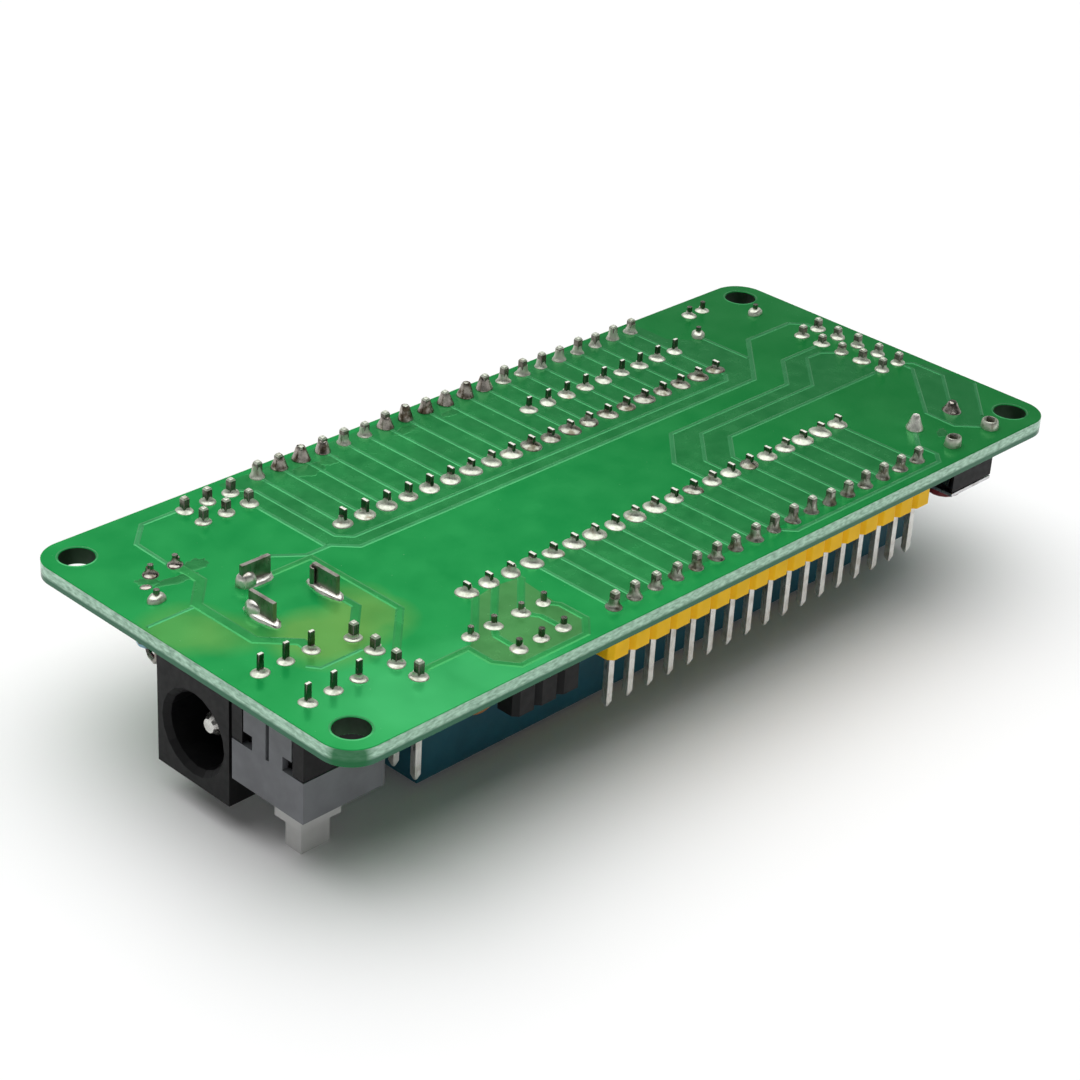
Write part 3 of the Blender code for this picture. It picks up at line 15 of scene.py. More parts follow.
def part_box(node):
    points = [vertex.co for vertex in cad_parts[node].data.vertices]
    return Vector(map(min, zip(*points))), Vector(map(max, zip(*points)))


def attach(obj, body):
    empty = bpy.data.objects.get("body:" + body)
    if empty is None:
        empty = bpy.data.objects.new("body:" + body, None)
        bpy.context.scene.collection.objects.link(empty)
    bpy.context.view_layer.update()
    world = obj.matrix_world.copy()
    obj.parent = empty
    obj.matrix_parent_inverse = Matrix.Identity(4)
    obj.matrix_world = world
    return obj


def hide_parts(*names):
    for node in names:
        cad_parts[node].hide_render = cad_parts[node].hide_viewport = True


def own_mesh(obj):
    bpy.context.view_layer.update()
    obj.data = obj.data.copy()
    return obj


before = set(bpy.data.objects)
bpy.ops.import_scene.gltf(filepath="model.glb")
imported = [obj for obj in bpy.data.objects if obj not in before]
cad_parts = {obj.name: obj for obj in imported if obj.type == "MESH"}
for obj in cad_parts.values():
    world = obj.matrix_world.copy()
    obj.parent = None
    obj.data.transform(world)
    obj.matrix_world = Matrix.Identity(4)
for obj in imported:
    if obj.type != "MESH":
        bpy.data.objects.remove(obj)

LOG = logging.getLogger("board")
FIXED_BODY = "board"
MM = 0.001
PITCH = 2.54 * MM
SOCKET_GAP = 15.24 * MM
LAMINATE = 1.6 * MM
# The board's node holds its solder too, so the height of its top face is found from below.
BOARD_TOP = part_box("circuit_board")[0][2] + LAMINATE
# A lengthened lead starts inside the board, covers the CAD's lead and has rounded edges.
LEAD_ROOT = 0.1 * MM
SKIN = 0.02 * MM
LEAD_EDGE = 0.08 * MM
# A face is level when its normal has more of Z than this.
LEVEL = 0.5
# Where most of a noise pattern's values lie, and the stretch of X over which the board and its tracks
# darken: a painted sheen at the jack's end fading to painted shade.
NOISE_SPAN = (0.3, 0.7)
PAINTED_SHADE_SPAN = (-8.0 * MM, 34.0 * MM)

Point = tuple[float, float]
Place = tuple[float, float, float]
Colour = tuple[float, float, float]
Spot = tuple[float, float, float, float]


class Graph:
    """Shader graph of one material, with short ways to add the nodes the finishes share."""

    def __init__(self, name: str) -> None:
        """Starts a material with a Principled shader.

        Args:
            name: Name of the material.
        """
        self.material = bpy.data.materials.new(name)
        self.material.use_nodes = True
        self.tree = self.material.node_tree
        self.shader = self.tree.nodes["Principled BSDF"]
        self.coords = self.tree.nodes.new("ShaderNodeTexCoord").outputs["Object"]

    def join(self, output: bpy.types.NodeSocket, target: bpy.types.NodeSocket) -> None:
        """Links two sockets.

        Args:
            output: Socket the value comes from.
            target: Socket the value goes to.
        """
        self.tree.links.new(output, target)

    def feed(self, target: bpy.types.NodeSocket, value: object) -> None:
        """Sets a socket from a constant or from another socket.

        Args:
            target: Socket to set.
            value: Number, colour or output socket.
        """
        if isinstance(value, bpy.types.NodeSocket):
            self.join(value, target)
        elif isinstance(value, tuple) and target.type == "RGBA":
            target.default_value = (*value, 1.0)
        else:
            target.default_value = value

    def noise(self, scale: float, detail: float = 3.0,
              stretch: Place = (1.0, 1.0, 1.0)) -> bpy.types.NodeSocket:
        """Adds a noise pattern fixed to the piece.

        Args:
            scale: Pattern size, in cells per metre.
            detail: Octaves of fine detail.
            stretch: Scale of the pattern along each axis.

        Returns:
            Value between about 0 and 1.
        """
        mapping = self.tree.nodes.new("ShaderNodeMapping")
        mapping.inputs["Scale"].default_value = stretch
        self.join(self.coords, mapping.inputs["Vector"])
        node = self.tree.nodes.new("ShaderNodeTexNoise")
        node.inputs["Scale"].default_value = scale
        node.inputs["Detail"].default_value = detail
        self.join(mapping.outputs["Vector"], node.inputs["Vector"])
        return node.outputs["Fac"]

    def ramp(self, value: bpy.types.NodeSocket, low: float, high: float, start: float = 0.0,
             end: float = 1.0) -> bpy.types.NodeSocket:
        """Maps a value from one range to another, clamped.

        Args:
            value: Value to map.
            low: Lower end of the input range.
            high: Upper end of the input range.
            start: Output at low.
            end: Output at high.

        Returns:
            The mapped value.
        """
        node = self.tree.nodes.new("ShaderNodeMapRange")
        for name, number in (("From Min", low), ("From Max", high), ("To Min", start), ("To Max", end)):
            node.inputs[name].default_value = number
        self.join(value, node.inputs["Value"])
        return node.outputs["Result"]

    def vary(self, scale: float, start: float = 0.0, end: float = 1.0) -> bpy.types.NodeSocket:
        """Adds a noise pattern spread over a range.

        Args:
            scale: Pattern size, in cells per metre.
            start: Value where the noise is low.
            end: Value where the noise is high.

        Returns:
            The varying value.
        """
        return self.ramp(self.noise(scale), *NOISE_SPAN, start, end)

    def maths(self, operation: str, first: object, second: object) -> bpy.types.NodeSocket:
        """Adds a sum, product or other operation on two values.

        Args:
            operation: Blender's name of the operation.
            first: Number or socket.
            second: Number or socket.

        Returns:
            The result.
        """
        node = self.tree.nodes.new("ShaderNodeMath")
        node.operation = operation
        self.feed(node.inputs[0], first)
        self.feed(node.inputs[1], second)
        return node.outputs["Value"]

    def blend(self, factor: object, first: object, second: object) -> bpy.types.NodeSocket:
        """Mixes two colours.

        Args:
            factor: Share of the second colour.
            first: Colour or socket.
            second: Colour or socket.

        Returns:
            The mixed colour.
        """
        node = self.tree.nodes.new("ShaderNodeMix")
        node.data_type = "RGBA"
        self.feed(node.inputs[0], factor)
        self.feed(node.inputs[6], first)
        self.feed(node.inputs[7], second)
        return node.outputs[2]

    def near(self, point: Sequence[float], reach: float) -> bpy.types.NodeSocket:
        """Adds a soft spot round a point of the piece.

        Args:
            point: Centre, in metres.
            reach: Distance at which the spot ends.

        Returns:
            1 at the centre, falling to 0.
        """
        node = self.tree.nodes.new("ShaderNodeVectorMath")
        node.operation = "DISTANCE"
        self.join(self.coords, node.inputs[0])
        node.inputs[1].default_value = tuple(point)
        return self.ramp(node.outputs["Value"], reach, 0.0)

    def axis(self, name: str) -> bpy.types.NodeSocket:
        """Adds one coordinate of the piece.

        Args:
            name: X, Y or Z.

        Returns:
            The coordinate, in metres.
        """
        node = self.tree.nodes.new("ShaderNodeSeparateXYZ")
        self.join(self.coords, node.inputs[0])
        return node.outputs[name]

    def upward(self) -> bpy.types.NodeSocket:
        """Adds the height component of the surface normal.

        Returns:
            1 facing up, -1 facing down.
        """
        geometry = self.tree.nodes.new("ShaderNodeNewGeometry")
        node = self.tree.nodes.new("ShaderNodeSeparateXYZ")
        self.join(geometry.outputs["Normal"], node.inputs[0])
        return node.outputs["Z"]

    def bump(self, height: bpy.types.NodeSocket, strength: float, depth: float) -> None:
        """Adds surface relief.

        Args:
            height: Height pattern.
            strength: Strength of the relief.
            depth: Depth in metres.
        """
        node = self.tree.nodes.new("ShaderNodeBump")
        node.inputs["Strength"].default_value = strength
        node.inputs["Distance"].default_value = depth
        self.join(height, node.inputs["Height"])
        self.join(node.outputs["Normal"], self.shader.inputs["Normal"])

    def finish(self, colour: object, roughness: object, metallic: float = 0.0,
               refraction: float = 1.45) -> bpy.types.Material:
        """Sets the shader's main sockets.

        Args:
            colour: Base colour or socket.
            roughness: Roughness or socket.
            metallic: 1 for bare metal.
            refraction: Index of refraction of the clear surface.

        Returns:
            The material.
        """
        self.feed(self.shader.inputs["Base Color"], colour)
        self.feed(self.shader.inputs["Roughness"], roughness)
        self.shader.inputs["Metallic"].default_value = metallic
        self.shader.inputs["IOR"].default_value = refraction
        return self.material


def shaded(colour: Colour, share: float) -> Colour:
    """Gives a lighter or darker tone of a colour.

    Args:
        colour: The colour.
        share: Brightness against the colour's own.

    Returns:
        The tone.
    """
    return tuple(min(part * share, 1.0) for part in colour)


@dataclass(frozen=True)
class Moulded:
    """Moulded plastic: slight colour mottle, fine spark grain and worn gloss."""

    name: str
    colour: Colour
    slot: str
    roughness: float = 0.42
    mottle: float = 0.1
    grain: float = 0.12
    refraction: float = 1.35

    def build(self) -> bpy.types.Material:
        """Makes the material.

        Returns:
            The material.
        """
        graph = Graph(self.name)
        low, high = shaded(self.colour, 1 - self.mottle), shaded(self.colour, 1 + self.mottle)
        colour = graph.blend(graph.ramp(graph.noise(420), 0.35, 0.65), low, high)
        roughness = graph.vary(1500, self.roughness - 0.06, self.roughness + 0.08)
        graph.bump(graph.noise(9000, 2.0), self.grain, 0.02 * MM)
        return graph.finish(colour, roughness, refraction=self.refraction)


@dataclass(frozen=True)
class Plated:
    """Tinned or plated metal with drawn streaks along its length and a little tarnish."""

    name: str
    colour: Colour
    tarnish: Colour
    slot: str
    roughness: float = 0.28
    streak: Place = (4.0, 4.0, 0.35)

    def build(self) -> bpy.types.Material:
        """Makes the material.

        Returns:
            The material.
        """
        graph = Graph(self.name)
        stain = graph.ramp(graph.noise(900), 0.45, 0.75)
        colour = graph.blend(stain, self.colour, self.tarnish)
        lines = graph.noise(2600, 2.0, self.streak)
        roughness = graph.ramp(lines, *NOISE_SPAN, self.roughness - 0.08, self.roughness + 0.14)
        graph.bump(lines, 0.15, 0.02 * MM)
        return graph.finish(colour, roughness, metallic=1.0)


@dataclass(frozen=True)
class Solder:
    """Solder: bright lumpy tin, frosted in patches, with brown flux in the hollows."""

    name: str
    slot: str
    colour: Colour = (0.56, 0.59, 0.5)
    flux: Colour = (0.3, 0.27, 0.2)
    burn: float = 0.58
    roughness: float = 0.34

    def build(self) -> bpy.types.Material:
        """Makes the material.

        Returns:
            The material.
        """
        graph = Graph(self.name)
        burnt = graph.ramp(graph.noise(1300, 4.0), self.burn, self.burn + 0.16)
        colour = graph.blend(burnt, self.colour, self.flux)
        roughness = graph.ramp(graph.noise(2200), 0.35, 0.7, self.roughness, self.roughness + 0.26)
        graph.bump(graph.noise(2600, 2.0), 0.3, 0.05 * MM)
        return graph.finish(colour, roughness, metallic=1.0)


@dataclass(frozen=True)
class Mask:
    """Green solder mask over copper, and the laminate's cut edge."""

    name: str
    slot: str
    green: Colour = (0.007, 0.215, 0.042)
    # bright: the mask's green under a painted sheen, used towards the jack's end; green is the same mask
    # under painted shade.
    bright: Colour = (0.012, 0.375, 0.083)
    edge: Colour = (0.47, 0.7, 0.55)
    # shade: painted shade, the dark green of the cut edge's lower part.
    shade: Colour = (0.05, 0.15, 0.09)
    corner: Colour = (0.02, 0.14, 0.05)
    flux: Colour = (0.15, 0.42, 0.085)
    # pale: the green of the painted highlights, lighter patches near the board's near edge.
    pale: Colour = (0.05, 0.5, 0.15)
    stains: tuple[Spot, ...] = ((-34.8, -6.0, 5.6, 0.9), (-30.2, -6.0, 4.6, 0.75), (-29.0, -3.0, 3.4, 0.5),
                                (-42.6, 2.0, 5.0, 0.5), (-40.5, -0.5, 4.0, 0.35))
    # These spots are painted highlights: lighter green patches near the board's near edge.
    painted_highlights: tuple[Spot, ...] = ((-37.0, -16.5, 9.0, 0.9), (-28.0, -18.5, 8.0, 0.8))
    # Depths below the top where the edge's pale band ends and its painted shade begins.
    lit_depths: Point = (1.15 * MM, 0.9 * MM)
    dark_corner: Place = (-44.2 * MM, -19.2 * MM, BOARD_TOP - 0.8 * MM)
    dark_reach: float = 2.6 * MM
    layering: Place = (1.0, 1.0, 3.0)
    specks: float = 0.25
    sheen: float = 0.35
    refraction: float = 1.2

    def face(self, graph: Graph) -> bpy.types.NodeSocket:
        """Colours the flat faces: a painted sheen at the jack's end that fades to painted shade along X,
        clouded, with flux stains, painted highlights near the near edge and specks.

        Args:
            graph: Graph to add to.

        Returns:
            The colour.
        """
        # Painted sheen: the green is brightest towards the jack's end and darkens along X as painted shade.
        painted_sheen = graph.ramp(graph.axis("X"), PAINTED_SHADE_SPAN[1], PAINTED_SHADE_SPAN[0])
        cloudy_painted_sheen = graph.maths("MULTIPLY", painted_sheen, graph.ramp(graph.noise(60), 0.2, 0.8, 0.82, 1.0))
        colour = graph.blend(cloudy_painted_sheen, self.green, self.bright)
        # The first spots are real flux stains; the second are painted highlights in the pale green.
        for tone, spots, scale in ((self.flux, self.stains, 230), (self.pale, self.painted_highlights, 90)):
            for x, y, reach, share in spots:
                spot = graph.near((x * MM, y * MM, BOARD_TOP), reach * MM)
                ragged = graph.maths("MULTIPLY", spot, graph.ramp(graph.noise(scale), 0.25, 0.75, 0.5, 1.5))
                colour = graph.blend(graph.ramp(ragged, 0.05, 0.6, 0.0, share), colour, tone)
        speck = graph.ramp(graph.noise(4200, 1.0), 0.78, 0.82)
        return graph.blend(graph.maths("MULTIPLY", speck, self.specks), colour, self.edge)

    def wall(self, graph: Graph) -> bpy.types.NodeSocket:
        """Colours the cut edge: pale layers of fibre over a lower part darkened as painted shade, dark at
        one corner.

        Args:
            graph: Graph to add to.

        Returns:
            The colour.
        """
        layers = graph.noise(1500, 4.0, self.layering)
        # Below these depths the cut edge takes painted shade.
        band = graph.ramp(graph.axis("Z"), *(BOARD_TOP - depth for depth in self.lit_depths))
        fibre = graph.maths("MULTIPLY", band, graph.ramp(layers, 0.3, 0.65, 0.35, 1.0))
        cut = graph.blend(fibre, self.shade, self.edge)
        rounded = graph.near(self.dark_corner, self.dark_reach)
        return graph.blend(graph.ramp(rounded, 0.25, 0.5, 0.0, 0.9), cut, self.corner)

    def build(self) -> bpy.types.Material:
        """Makes the material.

        Returns:
            The material.
        """
        graph = Graph(self.name)
        side = graph.ramp(graph.maths("ABSOLUTE", graph.upward(), 0.0), 0.6, 0.3)
        colour = graph.blend(side, self.face(graph), self.wall(graph))
        graph.bump(graph.noise(2600, 2.0), 0.08, 0.02 * MM)
        return graph.finish(colour, graph.vary(300, 0.17, 0.27), self.sheen, self.refraction)


@dataclass(frozen=True)
class Track:
    """Copper track under the mask: a paler green, with painted highlights on its sloping edges and painted
    shade towards +X.
    """

    name: str
    slot: str
    flat: Colour = (0.055, 0.39, 0.13)
    # rim: painted highlight, a paler green on the sloping edges where light falls.
    rim: Colour = (0.1, 0.46, 0.19)
    sheen: float = 0.35
    # dim: share of brightness left by the painted shade towards +X.
    dim: float = 0.6
    refraction: float = 1.2

    def build(self) -> bpy.types.Material:
        """Makes the material.

        Returns:
            The material.
        """
        graph = Graph(self.name)
        flat = graph.blend(graph.vary(240), self.flat, shaded(self.flat, 0.8))
        # Painted highlight: the sloping edges take the paler rim colour.
        edge = graph.ramp(graph.upward(), 0.99, 0.8)
        colour = graph.blend(edge, flat, self.rim)
        # Painted shade: the track darkens along X.
        away = graph.ramp(graph.axis("X"), *PAINTED_SHADE_SPAN)
        colour = graph.blend(away, colour, shaded(self.flat, self.dim))
        graph.bump(graph.noise(2600, 2.0), 0.1, 0.03 * MM)
        return graph.finish(colour, graph.vary(600, 0.18, 0.3), self.sheen, self.refraction)


@dataclass(frozen=True)
class Lens:
    """Clear tinted lamp lens with faint flow marks."""

    name: str
    colour: Colour
    slot: str

    def build(self) -> bpy.types.Material:
        """Makes the material.

        Returns:
            The material.
        """
        graph = Graph(self.name)
        colour = graph.blend(graph.vary(500), self.colour, shaded(self.colour, 0.7))
        graph.shader.inputs["Transmission Weight"].default_value = 0.6
        graph.bump(graph.noise(1800, 1.0), 0.05, 0.03 * MM)
        return graph.finish(colour, graph.vary(900, 0.06, 0.16))


@dataclass(frozen=True)
class Banded:
    """Resistor lacquer with colour bands across the body's axis."""

    name: str
    slot: str
    node: str
    axis: str
    bands: tuple[Colour, ...]
    lacquer: Colour = (0.24, 0.46, 0.6)

    def build(self) -> bpy.types.Material:
        """Makes the material, with the bands spread over the node's length.

        Returns:
            The material.
        """
        graph = Graph(self.name)
        colour = graph.blend(graph.vary(700), self.lacquer, shaded(self.lacquer, 0.8))
        number = "XYZ".index(self.axis)
        low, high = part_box(self.node)
        spacing = (high[number] - low[number]) / (len(self.bands) + 1)
        along = graph.axis(self.axis)
        for step, band in enumerate(self.bands, 1):
            offset = graph.maths("SUBTRACT", along, low[number] + step * spacing)
            away = graph.maths("ABSOLUTE", offset, 0.0)
            colour = graph.blend(graph.ramp(away, spacing * 0.32, spacing * 0.26), colour, band)
        graph.bump(graph.noise(2400, 2.0), 0.1, 0.03 * MM)
        return graph.finish(colour, graph.vary(900, 0.25, 0.4))


BROWN = (0.1, 0.03, 0.01)
JET = (0.01, 0.01, 0.01)
ORANGE = (0.45, 0.08, 0.02)


class Finish(Enum):
    """Every finish of the board."""

    MASK = Mask("solder_mask", "laminate")
    TRACK = Track("covered_track", "laminate")
    BARE = Track("bare_laminate", "laminate", (0.021, 0.305, 0.075), (0.021, 0.305, 0.075), 0.35, 0.62)
    BROWNED = Track("browned_laminate", "laminate", (0.08, 0.33, 0.09), (0.08, 0.33, 0.09), 0.3)
    # Flux films and wide tracks take painted highlights on their sloping edges, in their second colour.
    FLUX = Track("flux_film", "laminate", (0.022, 0.26, 0.065), (0.08, 0.4, 0.15))
    WIDE_TRACK = Track("wide_track", "laminate", (0.03, 0.36, 0.085), (0.15, 0.5, 0.22))
    # The screw holes' walls are near-black green as painted shade for the holes' dark insides; the cut
    # laminate itself is pale.
    SHADED_HOLE_WALL = Moulded("hole_wall_painted_shade", (0.006, 0.03, 0.009), "laminate", 0.6, 0.3, 0.3)
    SOLDER = Solder("solder", "tin")
    FROSTED_SOLDER = Solder("frosted_solder", "tin", (0.72, 0.72, 0.66), (0.38, 0.33, 0.25), 0.58, 0.24)
    TINNED_TIP = Solder("tinned_tip", "tin", (0.76, 0.77, 0.7), (0.45, 0.41, 0.32), 0.6, 0.44)
    BROWN_SOLDER = Solder("browned_solder", "tin", (0.39, 0.4, 0.34), (0.15, 0.14, 0.1), 0.46, 0.26)
    DULL_SOLDER = Solder("dull_solder", "tin", (0.4, 0.37, 0.33), (0.1, 0.08, 0.055), 0.46, 0.14)
    # Tinned pin metal darkened as painted shade, standing in for the dark surroundings its sides reflect;
    # the bright pin is the same metal without it.
    PIN = Plated("tinned_pin_painted_dark", (0.17, 0.165, 0.14), (0.065, 0.055, 0.042), "plated", 0.22)
    TAB = Plated("jack_terminal", (0.34, 0.32, 0.29), (0.14, 0.12, 0.1), "plated", 0.34)
    BRIGHT_PIN = Plated("bright_pin", (0.74, 0.73, 0.7), (0.5, 0.47, 0.42), "plated")
    BRASS = Plated("plated_contact", (0.72, 0.66, 0.5), (0.4, 0.33, 0.2), "plated")
    LEAD = Plated("tinned_lead", (0.3, 0.28, 0.25), (0.1, 0.08, 0.06), "tin", 0.24)
    STEEL = Plated("steel", (0.62, 0.62, 0.63), (0.42, 0.41, 0.4), "steel", 0.3)
    TEAL = Moulded("teal_plastic", (0.006, 0.07, 0.1), "teal_plastic", 0.42)
    BLACK = Moulded("black_plastic", (0.0045, 0.0045, 0.005), "black_plastic", 0.48, 0.2, 0.12, 1.27)
    YELLOW = Moulded("yellow_plastic", (0.93, 0.53, 0.012), "yellow_plastic", 0.4, 0.05, 0.12, 1.2)
    GREY = Moulded("grey_plastic", (0.125, 0.13, 0.14), "grey_plastic", 0.48)
    WHITE = Moulded("white_plastic", (0.5, 0.5, 0.49), "white_plastic", 0.4, 0.05)
    MAROON = Moulded("maroon_plastic", (0.16, 0.018, 0.022), "maroon_plastic", 0.4)
    CERAMIC = Moulded("dipped_ceramic", (0.32, 0.12, 0.03), "ceramic", 0.5, 0.18, 0.3)
    SLEEVE = Moulded("can_sleeve", (0.018, 0.02, 0.03), "can_sleeve", 0.3)
    RUBBER = Moulded("rubber", (0.03, 0.03, 0.03), "rubber", 0.75)
    LENS = Lens("red_lens", (0.7, 0.03, 0.02), "red_lens")
    LYING = Banded("reset_resistor_lacquer", "lacquer", "reset_resistor_body", "X",
                   (BROWN, JET, JET, ORANGE, BROWN))
    UPRIGHT = Banded("led_resistor_lacquer", "lacquer", "led_resistor_body", "Z",
                     (BROWN, JET, JET, BROWN, BROWN))


def add_object(name: str, data: bpy.types.ID) -> bpy.types.Object:
    """Adds an object to the scene.

    Args:
        name: Name of the object.
        data: Its mesh, curve, light or camera.

    Returns:
        The object.
    """
    holder = bpy.data.objects.new(name, data)
    bpy.context.scene.collection.objects.link(holder)
    return holder


def smooth(mesh: bpy.types.Mesh, angle: float) -> None:
    """Shades a mesh smooth.

    Args:
        mesh: The mesh.
        angle: Edges sharper than this, in degrees, stay crisp.
    """
    mesh.shade_smooth()
    mesh.set_sharp_from_angle(angle=math.radians(angle))


class Workshop:
    """Builds each finish once and dresses CAD nodes or new pieces with it."""

    def __init__(self) -> None:
        """Starts with no finish built."""
        self._built: dict[Finish, bpy.types.Material] = {}

    def material(self, finish: Finish) -> bpy.types.Material:
        """Gives the material of a finish.

        Args:
            finish: The finish.

        Returns:
            Its material, built on first use.
        """
        if finish not in self._built:
            self._built[finish] = finish.value.build()
        return self._built[finish]

    def dress(self, node: str, finish: Finish, angle: float = 35.0) -> bpy.types.Object:
        """Gives a CAD node its finish and its shading.

        Args:
            node: Name of the node.
            finish: Its finish.
            angle: Edges sharper than this, in degrees, stay crisp.

        Returns:
            The node's object.
        """
        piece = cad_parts[node]
        piece.data.materials.clear()
        piece.data.materials.append(self.material(finish))
        smooth(piece.data, angle)
        LOG.info("dressed %s", node)
        return piece

    def dress_leads(self, node: str, finish: Finish, lead: Finish, points: Sequence[Point],
                    half: Point) -> None:
        """Gives a moulding its finish and the leads moulded into it another, with tinned ends.

        Args:
            node: Name of the node.
            finish: Finish of the moulding.
            lead: Finish of the leads.
            points: Plan position of each lead.
            half: Half the plan size of a lead.
        """
        piece = self.dress(node, finish)
        piece.data.materials.append(self.material(lead))
        piece.data.materials.append(self.material(Finish.SOLDER))
        reach_x, reach_y = half[0] + SKIN, half[1] + SKIN
        owner: dict[int, int] = {}
        for vertex in piece.data.vertices:
            for number, (x, y) in enumerate(points):
                if abs(vertex.co.x - x) < reach_x and abs(vertex.co.y - y) < reach_y:
                    owner[vertex.index] = number
        for polygon in piece.data.polygons:
            owners = {owner.get(index, -1) for index in polygon.vertices}
            if len(owners) == 1 and -1 not in owners:
                polygon.material_index = 2 if polygon.normal.z > LEVEL else 1

    def make(self, bm: bmesh.types.BMesh, name: str, finish: Finish,
             angle: float | None = 35.0) -> bpy.types.Object:
        """Turns a bmesh into a piece that rides the fixed body.

        Args:
            bm: The shape, freed here.
            name: Name of the piece.
            finish: Its finish.
            angle: Edges sharper than this, in degrees, stay crisp; None for flat faces.

        Returns:
            The piece.
        """
        bmesh.ops.recalc_face_normals(bm, faces=bm.faces)
        mesh = bpy.data.meshes.new(name)
        bm.to_mesh(mesh)
        bm.free()
        mesh.materials.append(self.material(finish))
        if angle is not None:
            smooth(mesh, angle)
        piece = add_object(name, mesh)
        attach(piece, FIXED_BODY)
        LOG.info("built %s", name)
        return piece

    def lengthen(self, name: str, tips: Sequence[Place], half: Point) -> None:
        """Builds the upper ends of leads that stand higher than the CAD's, with tinned tips.

        Args:
            name: Name of the piece.
            tips: Position of each lead's tip.
            half: Half the plan size of a lead.
        """
        bm = bmesh.new()
        wide, deep = half[0] + SKIN, half[1] + SKIN
        for x, y, high in tips:
            plan = [(x - wide, y - deep), (x + wide, y - deep), (x + wide, y + deep), (x - wide, y + deep)]
            extrude_outline(bm, plan, BOARD_TOP - LEAD_ROOT, high)
        piece = self.make(bm, name, Finish.PIN)
        piece.data.materials.append(self.material(Finish.TINNED_TIP))
        for polygon in piece.data.polygons:
            polygon.material_index = int(polygon.normal.z > LEVEL)
        soften(piece, LEAD_EDGE, segments=3)


def soften(piece: bpy.types.Object, width: float, segments: int = 2, angle: float = 40.0) -> None:
    """Rounds the sharp edges of a piece.

    Args:
        piece: The piece.
        width: Width of the rounding, in metres.
        segments: Faces across the rounding.
        angle: Edges sharper than this, in degrees, are rounded.
    """
    bevel = piece.modifiers.new("soften", "BEVEL")
    bevel.width = width
    bevel.segments = segments
    bevel.limit_method = "ANGLE"
    bevel.angle_limit = math.radians(angle)


def lathe(bm: bmesh.types.BMesh, rings: Sequence[Sequence[Vector]], capped: bool = False) -> None:
    """Adds the skin through rings of as many points.

    Args:
        bm: Shape to add to.
        rings: Rings of points, from one end to the other.
        capped: Whether the first and last rings are closed.
    """
    rows = [[bm.verts.new(point) for point in ring] for ring in rings]
    count = len(rows[0])
    for lower, upper in zip(rows, rows[1:]):
        for i in range(count):
            j = (i + 1) % count
            bm.faces.new((lower[i], lower[j], upper[j], upper[i]))
    if capped:
        bm.faces.new(rows[0][::-1])
        bm.faces.new(rows[-1])


def circle(x: float, y: float, radius: float, count: int = 40) -> list[Point]:
    """Gives points round a circle.

    Args:
        x: Centre along X.
        y: Centre along Y.
        radius: Radius.
        count: How many points.

    Returns:
        The points in order.
    """
    turns = [math.tau * i / count for i in range(count)]
    return [(x + radius * math.cos(turn), y + radius * math.sin(turn)) for turn in turns]


def extrude_outline(bm: bmesh.types.BMesh, outline: Sequence[Point], low: float, high: float) -> None:
    """Adds a prism on a plan outline.

    Args:
        bm: Shape to add to.
        outline: Plan points in order.
        low: Bottom height.
        high: Top height.
    """
    lower = [bm.verts.new((x, y, low)) for x, y in outline]
    upper = [bm.verts.new((x, y, high)) for x, y in outline]
    bm.faces.new(lower[::-1])
    bm.faces.new(upper)
    for i in range(len(outline)):
        j = (i + 1) % len(outline)
        bm.faces.new((lower[i], lower[j], upper[j], upper[i]))


def middle(node: str) -> Point:
    """Gives the middle of a CAD node in the plan.

    Args:
        node: Name of the node.

    Returns:
        Its plan position.
    """
    low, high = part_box(node)
    return ((low[0] + high[0]) / 2, (low[1] + high[1]) / 2)


def ways_along(node: str, axis: int) -> list[float]:
    """Gives the ways of a pin header along one axis, a pitch apart.

    Args:
        node: Name of the header's node.
        axis: 0 for X, 1 for Y.

    Returns:
        Their positions.
    """
    low, high = (corner[axis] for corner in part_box(node))
    return [low + PITCH * (i + 0.5) for i in range(round((high - low) / PITCH))]


@dataclass
class Layout:
    """Lead positions on the board, read from the CAD's nodes."""

    near_row: float = middle("zif_base")[1] - SOCKET_GAP / 2
    far_row: float = middle("zif_base")[1] + SOCKET_GAP / 2
    near_header: float = middle("near_header")[1]
    far_header: float = middle("far_header")[1]
    network_first: int = 11
    switch_reach: Point = (2.6 * MM, 2.8 * MM)

    def columns(self) -> list[float]:
        """Gives the X positions of the socket's columns, which the far header shares."""
        return ways_along("far_header", 0)

    def socket(self) -> list[Point]:
        """Gives the plan positions of the socket's forty leads, row by row."""
        return [(x, y) for y in (self.near_row, self.far_row) for x in self.columns()]

    def network(self) -> list[Point]:
        """Gives the plan positions of the resistor network's leads."""
        y = middle("resistor_network")[1]
        return [(x, y) for x in self.columns()[self.network_first:]]

    def switch(self) -> list[Point]:
        """Gives the plan positions of the power switch's pins."""
        (x, y), (wide, deep) = middle("switch_base"), self.switch_reach
        return [(x + dx, y + dy) for dy in (-deep, deep) for dx in (-wide, 0.0, wide)]

    def reset(self) -> list[Point]:
        """Gives the plan positions of the reset switch's legs."""
        return [middle(f"reset_leg_{number}") for number in range(1, 5)]

    def small(self) -> list[Point]:
        """Gives the plan positions of the crystal socket's and the ceramic capacitors' leads.

        Returns:
            The positions, crystal socket first.
        """
        contacts = [f"crystal_socket_contact_{number}" for number in (1, 2, 3)]
        leads = [f"load_capacitor_{side}_lead_{number}" for side in ("left", "right") for number in (1, 2)]
        return [middle(node) for node in contacts + leads]


